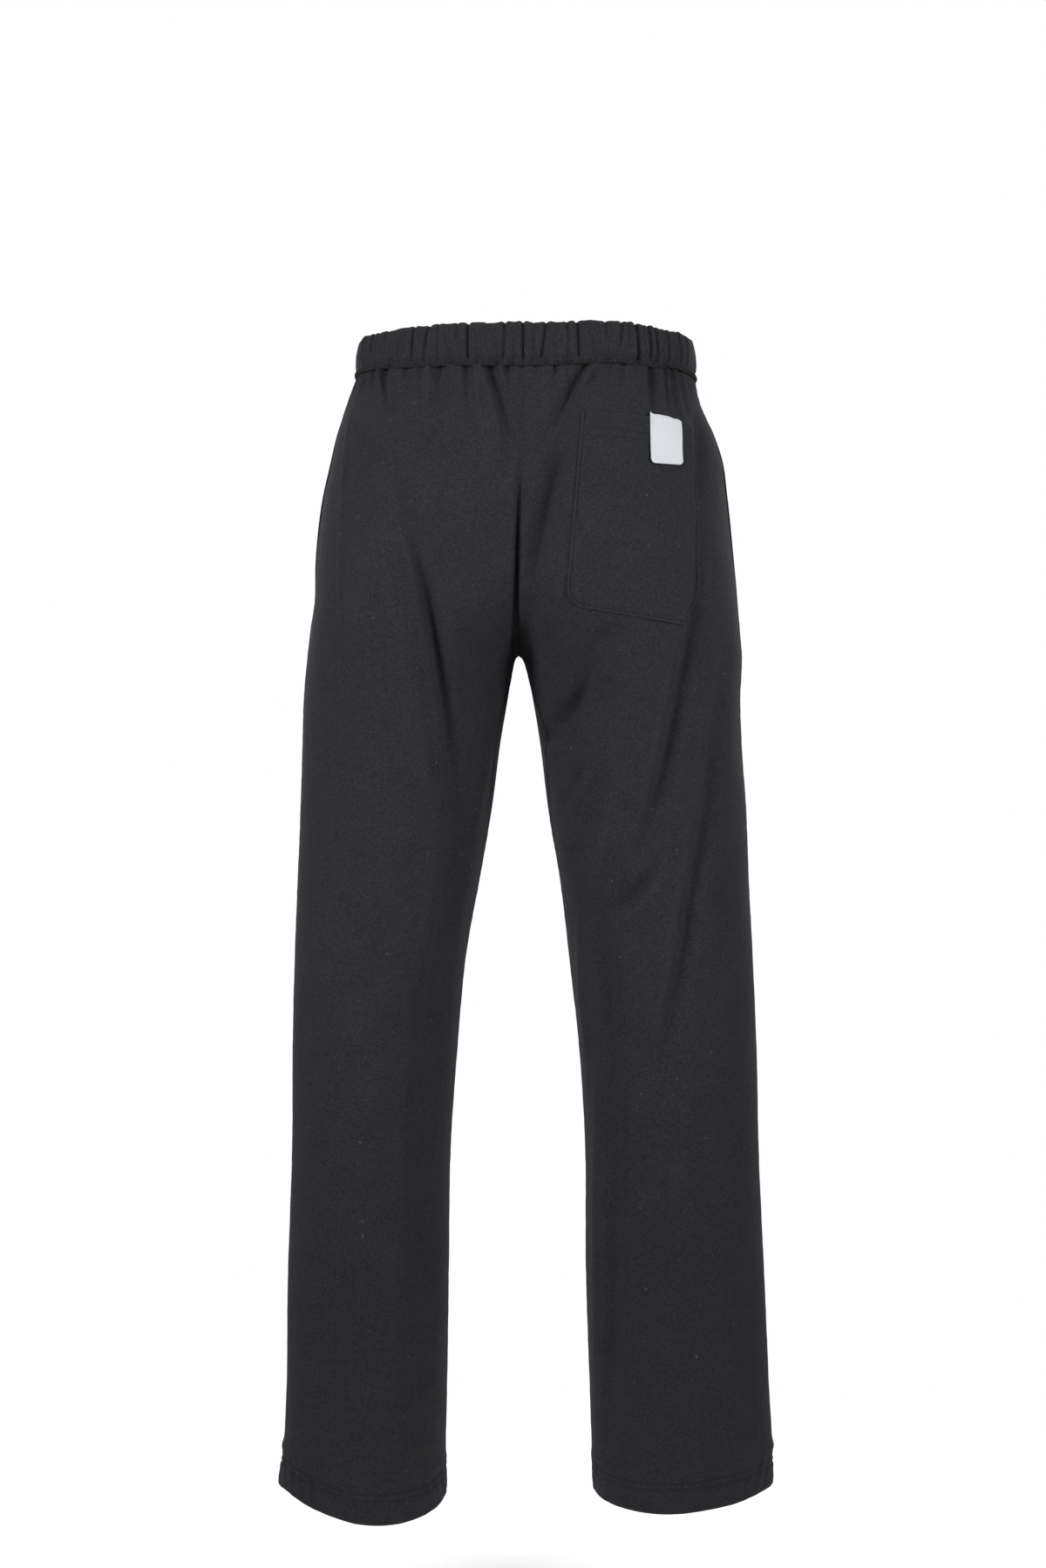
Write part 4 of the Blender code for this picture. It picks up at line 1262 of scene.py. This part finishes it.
def label_place(across, along):
    front = along < 0.5 + 0.1 / LABEL_DOWN
    down = 1 - np.abs(2 * along - 1)
    x, top = (between(inner, outer, across) for inner, outer in zip(*LABEL_TOP))
    beside = nearer(across) * LABEL_WIDTH
    corner = 1 - np.sqrt(1 - np.clip(1 - beside / LABEL_CORNER, 0, 1) ** 2)
    z = between(top, LABEL_FOOT + LABEL_CORNER * corner, down)
    wall = LABEL_CLOTH * rim(np.minimum(beside, down * LABEL_LENGTH), 0.5)
    curl = 0.9 * ramp(down, 0.55, 1) ** 2 + 0.35 * np.sin(3 * across + 2.2 * down)
    lift = LABEL_LIFT - 0.4 * ramp(mouth_level(x) - z, 18, 34) + curl + np.where(front, wall, 0)
    foot = (1 - down) * LABEL_LENGTH
    lift = lift - np.where(front, wall / 2, -wall / 2) * np.clip(1 - foot / 0.6, 0, 1)
    worn = 0.6 * bell(np.minimum(beside, foot), 0.6)
    return settle(on_seat(x, z, lift)[0]), worn


label = weave("tape_pocket_label", LABEL_COLUMNS, 2 * LABEL_DOWN, label_place, TAPE)

# %% [markdown]
# ## Behind the side-pocket mouths
# Each side pocket opens in the side seam. Behind the opening lies a strip of the same cloth, so
# that no bare inside shows through the slit. A flat strip would cut through the curved hip, so
# this one is woven on the same bare form as the panels, a little further in.

# %% Make the facings
FACING_TOP, FACING_LENGTH = -48.0, 174.0
FACING_BEHIND, FACING_WIDTH = 9.0, 35.0
FACING_CLOTH, FACING_GAP = 1.6, 2.6
FACING_COLUMNS, FACING_DOWN = 20, 60


def facing_place(side):
    def place(across, along):
        down = 1 - np.abs(2 * along - 1)
        level = FACING_TOP - FACING_LENGTH * down
        angle = side_seam(level) + (FACING_BEHIND - FACING_WIDTH * across) / HIP_RADIUS
        from_edge = np.minimum(nearer(across) * FACING_WIDTH, nearer(down) * FACING_LENGTH)
        wall = FACING_CLOTH * rim(from_edge, 1)
        under = CLOTH + FACING_GAP + 2.4 * ramp(level, -90, FACING_TOP)
        front = along < 0.5 + 0.1 / FACING_DOWN
        lift = -under - np.where(front, 0, wall) - (FACING_CLOTH - wall) / 2
        points = bare_point(side, angle, level) + outward(side, angle, level) * lift[..., None]
        return settle(points), 0 * across

    return place


facings = {}
for side in SIDES:
    node = f"pocket_facing_{side}"
    facings[node] = weave(
        f"cloth_{node}", FACING_COLUMNS, 2 * FACING_DOWN, facing_place(side), KNIT
    )

# %% [markdown]
# ## Stitches
# Every visible stitch is a short thread that dips into the cloth at both ends. A row of them is
# one curve object with a spline for each stitch and a round bevel, made a mesh at the end. The
# rows are traced with the same skin function that shaped the panels, so they follow each fold.

# %% Thread
def sewing_thread(name):
    n = Nodes(name)
    twist = n.noise(n.add("TexCoord", out=3), 2600)
    return n.surface({
        "Base Color": n.blend(twist, (0.007, 0.007, 0.008, 1), (0.0133, 0.0133, 0.0152, 1)),
        "Normal": n.bump(twist, 0.4, 0.0001),
        "Roughness": 0.75,
        "Specular IOR Level": 0.15,
    })


THREAD = sewing_thread("black_thread")
print("thread:", THREAD.name)

# %% Stitch helper
STITCH, STITCH_GAP = 2.7, 0.6
# how far along a stitch its four points are, and how high over the cloth
STITCH_SHAPE = np.array([(0, -0.25), (0.22, 0.2), (0.78, 0.2), (1, -0.25)])
THREAD_RADIUS = 0.24
ROLL_THREAD_RADIUS = 0.26


def stitches_on(path, normals):
    """Four points for each stitch along a path: in, up, up and in again."""
    far = measured(path, 0)
    pitch = STITCH + STITCH_GAP
    starts = np.arange(STITCH_GAP / 2, far[-1] - pitch, pitch)
    at = starts[:, None] + STITCH * STITCH_SHAPE[:, 0]
    return at_length(at, far, path) + at_length(at, far, normals) * STITCH_SHAPE[:, 1:]


def sew(name, rows, radius=THREAD_RADIUS):
    """One mesh of all the stitches in rows, each an array of stitches by points in mm."""
    curve = bpy.data.curves.new(name, "CURVE")
    curve.dimensions = "3D"
    curve.bevel_depth = radius * MM
    curve.bevel_resolution = 1
    curve.use_fill_caps = True
    for stitch in (stitch for stitches in rows for stitch in settle(stitches)):
        spline = curve.splines.new("POLY")
        spline.points.add(len(stitch) - 1)
        spline.points.foreach_set("co", np.insert(stitch, 3, 1, axis=1).ravel())
    holder = show(f"{name}_curve", curve)
    ready = holder.evaluated_get(bpy.context.evaluated_depsgraph_get())
    mesh = bpy.data.meshes.new_from_object(ready)
    mesh.name = name
    bpy.data.objects.remove(holder)
    mesh.materials.clear()
    mesh.materials.append(THREAD)
    mesh.shade_smooth()
    print(name, sum(map(len, rows)), "stitches,", len(mesh.polygons), "faces")
    return show(name, mesh)


# %% Hem and side-pocket stitches
def round_leg(side, up):
    """A line round one leg at a height above its hem, with its outward directions."""
    parts, normals = [], []
    for face in FACES:
        half_turn = np.linspace(math.pi, 0, 400)
        angle = half_turn if face == "back" else (half_turn - math.pi)[1:]
        level = np.full_like(angle, HEM_LEVEL + up)
        parts.append(skin(side, face, angle, level))
        normals.append(outward(side, angle, level))
    return np.concatenate(parts), np.concatenate(normals)


def mouth_line(side):
    """A line beside a side pocket's mouth, with its outward directions."""
    level = np.linspace(MOUTH_TOP - 3, MOUTH_BOTTOM + 3, 300)
    angle = side_seam(level) - MOUTH_STITCH_INSET / HIP_RADIUS
    return skin(side, "front", angle, level), outward(side, angle, level)


hem_stitches, mouth_stitches = {}, {}
for side in SIDES:
    rows = [stitches_on(*round_leg(side, up)) for up in HEM_STITCH_HEIGHTS]
    hem_stitches[side] = sew(f"stitches_hem_{side}", rows)
for side in SIDES:
    rows = [stitches_on(*mouth_line(side))]
    mouth_stitches[side] = sew(f"stitches_side_pocket_{side}", rows)

# %% Pocket stitches
def seat_stitches(x, z, edge, below):
    """Stitches on the pocket's face, so far from its edge and below its mouth."""
    return stitches_on(*on_seat(x, z, SEAT_CLEARANCE + pocket_relief(edge, below)))


along = np.gradient(POCKET_EDGE, axis=0)
along /= np.maximum(np.linalg.norm(along, axis=1, keepdims=True), 1e-9)
edge_x = POCKET_EDGE[:, 0] + POCKET_STITCH_INSET * along[:, 1]
edge_z = POCKET_EDGE[:, 1] - POCKET_STITCH_INSET * along[:, 0]
below = mouth_level(edge_x) - edge_z
kept = below > 1
edge = np.full(kept.sum(), POCKET_STITCH_INSET)
pocket_rows = [seat_stitches(edge_x[kept], edge_z[kept], edge, below[kept])]
across = np.linspace(0.04, 0.96, 200)
x, mouth = (between(inner, outer, across) for inner, outer in zip(*POCKET_MOUTH))
for below in POCKET_HEM_ROWS:
    edge = nearer(across) * MOUTH_LENGTH
    pocket_rows.append(seat_stitches(x, mouth - below, edge, np.full_like(x, below)))
pocket_stitches = sew("stitches_back_pocket", pocket_rows)

# %% Overlock over the waistband's roll
ROLL_START, ROLL_POINTS, ROLL_SLANT = 0.026, 7, 0.3


def roll_threads():
    """Short threads that wrap the roll at the foot of the waistband, one each 2.9 mm."""
    wrap = smooth_section(np.linspace(ROLL_START, ROLL_END - 0.03, ROLL_POINTS))
    starts = (np.arange(ROLL_STITCHES) + 0.25) / ROLL_STITCHES * waist_girth
    dips = 0.55 * np.interp(starts, ring_length, RING_DIPS) + 0.12
    return np.stack([
        round_waist(starts, out + dips, height, (k - ROLL_POINTS // 2) * ROLL_SLANT)
        for k, (height, out) in enumerate(wrap)
    ], axis=1)


band_stitches = sew("stitches_waistband", [roll_threads()], ROLL_THREAD_RADIUS)

# %% [markdown]
# ## Floor and light
# The soft light comes from both sides and from a little above, and almost none from straight
# behind the camera. That is why every fold shows, though the cloth is nearly black. On each side
# a square lamp behind the garment aims at the knees, one nearer the hip lights the outline, and
# one higher up lights the seat. Two strong lamps stand before the front, for the views from
# there. A weak one over the waist lights the inside of the waistband. The last one points
# straight down at the floor beyond the garment, so that the floor turns as white as the surround.

# %% Floor
FLOOR_LEVEL, FLOOR_RADIUS = -1.09, 3
FLOOR_FADE = (0.3, 1)
bm = bmesh.new()
bmesh.ops.create_circle(bm, cap_ends=True, segments=96, radius=FLOOR_RADIUS)
bmesh.ops.translate(bm, verts=bm.verts[:], vec=(0, 0, FLOOR_LEVEL))
floor = show("studio_floor", bpy.data.meshes.new("studio_floor"))
bm.to_mesh(floor.data)
bm.free()
paint = Nodes("pale_floor")
x, y = paint.split(paint.add("TexCoord", out=3))
away = paint.math("MULTIPLY_ADD", y, y, paint.math("MULTIPLY", x, x))
fade = paint.add("MapRange", paint.math("SQRT", away), *FLOOR_FADE, 1, 0,
                 interpolation_type="SMOOTHSTEP")
floor.data.materials.append(paint.surface({
    "Base Color": (0.94, 0.94, 0.94, 1),
    "Roughness": 0.9,
    "Specular IOR Level": 0.1,
    "Alpha": fade,
}))

# %% Light
SEAT, HIGH_SEAT, KNEE = (0, 0, -0.15), (0, 0, -0.1), (0, 0, -0.36)
# place, aim, width and height, power in watts and spread in degrees
LAMPS = {
    "lamp_left": ((1.5, 1.3, -0.2), KNEE, (0.8, 0.8), 4.4, 72),
    "lamp_left_near": ((1.2, 0.5, 0.2), SEAT, (0.5, 0.7), 1, 120),
    "lamp_seat_left": ((0.85, 1.15, 0.45), HIGH_SEAT, (0.6, 0.6), 2.8, 110),
    "lamp_right": ((-1.5, 1.3, -0.2), KNEE, (0.8, 0.8), 3.9, 72),
    "lamp_right_near": ((-1.2, 0.5, 0.2), SEAT, (0.5, 0.7), 1.8, 120),
    "lamp_seat_right": ((-0.95, 1.15, 0.45), HIGH_SEAT, (0.6, 0.6), 1.2, 110),
    "lamp_front_left": ((0.7, -2, 0.3), KNEE, (1, 1.2), 26, 180),
    "lamp_front_right": ((-1, -1.8, 0.3), KNEE, (0.8, 1.2), 18, 180),
    "lamp_above": ((0, -0.05, 1.3), SEAT, (0.4, 0.4), 0.25, 40),
    "lamp_floor": ((0, -1.5, 0.5), (0, -1.5, FLOOR_LEVEL), (2.4, 1.6), 14, 100),
}
for name, (place, aim, size, power, spread) in LAMPS.items():
    light = bpy.data.lights.new(name, "AREA")
    light.shape = "RECTANGLE"
    light.size, light.size_y = size
    light.energy, light.spread = power, math.radians(spread)
    lamp = show(name, light)
    lamp.location = place
    lamp.visible_camera = False
    x, y, z = np.subtract(aim, place)
    lamp.rotation_euler = (math.atan2(math.hypot(x, y), -z), 0, math.atan2(y, x) - math.pi / 2)
print(len(LAMPS), "soft lamps")

# %% Surround
SURROUND = 0.11
world = bpy.data.worlds.new("studio_surround")
bpy.context.scene.world = world
world.use_nodes = True
room = world.node_tree
backdrop, walls = room.nodes["Background"], room.nodes.new("ShaderNodeBackground")
for plain, strength in ((backdrop, 1), (walls, SURROUND)):
    plain.inputs["Color"].default_value = (1, 1, 1, 1)
    plain.inputs["Strength"].default_value = strength
seen, choose = (room.nodes.new(f"ShaderNode{kind}") for kind in ("LightPath", "MixShader"))
for k, output in enumerate((seen.outputs["Is Camera Ray"], walls.outputs[0], backdrop.outputs[0])):
    room.links.new(output, choose.inputs[k])
room.links.new(choose.outputs[0], room.nodes["World Output"].inputs["Surface"])
bpy.context.scene.view_settings.view_transform = "Standard"
bpy.context.scene.view_settings.look = "None"
print("surround ready")

# %% [markdown]
# ## Hand the pieces over
# Each piece hides the solid that it stands for and moves with the root body, and the area of its
# cloth is printed.

# %% Ride and replace
def hand_over(piece, node, area):
    """area is one layer of the sheet, in square metres."""
    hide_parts(node)
    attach(piece, "root")
    made = read(piece.data.polygons, "area").sum() / 2
    print(node, "cloth", round(float(made), 4), "m2, cut as", area)


for piece in (*hem_stitches.values(), *mouth_stitches.values(), pocket_stitches, band_stitches):
    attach(piece, "root")
for node, piece in panels.items():
    side = node.split("_")[-1]
    hand_over(piece, node, 0.24)
hand_over(waistband, "waistband", 0.0389)
hand_over(pocket, "back_pocket", 0.026)
hand_over(label, "pocket_label", 0.00143)
for node, piece in facings.items():
    hand_over(piece, node, 0.00609)
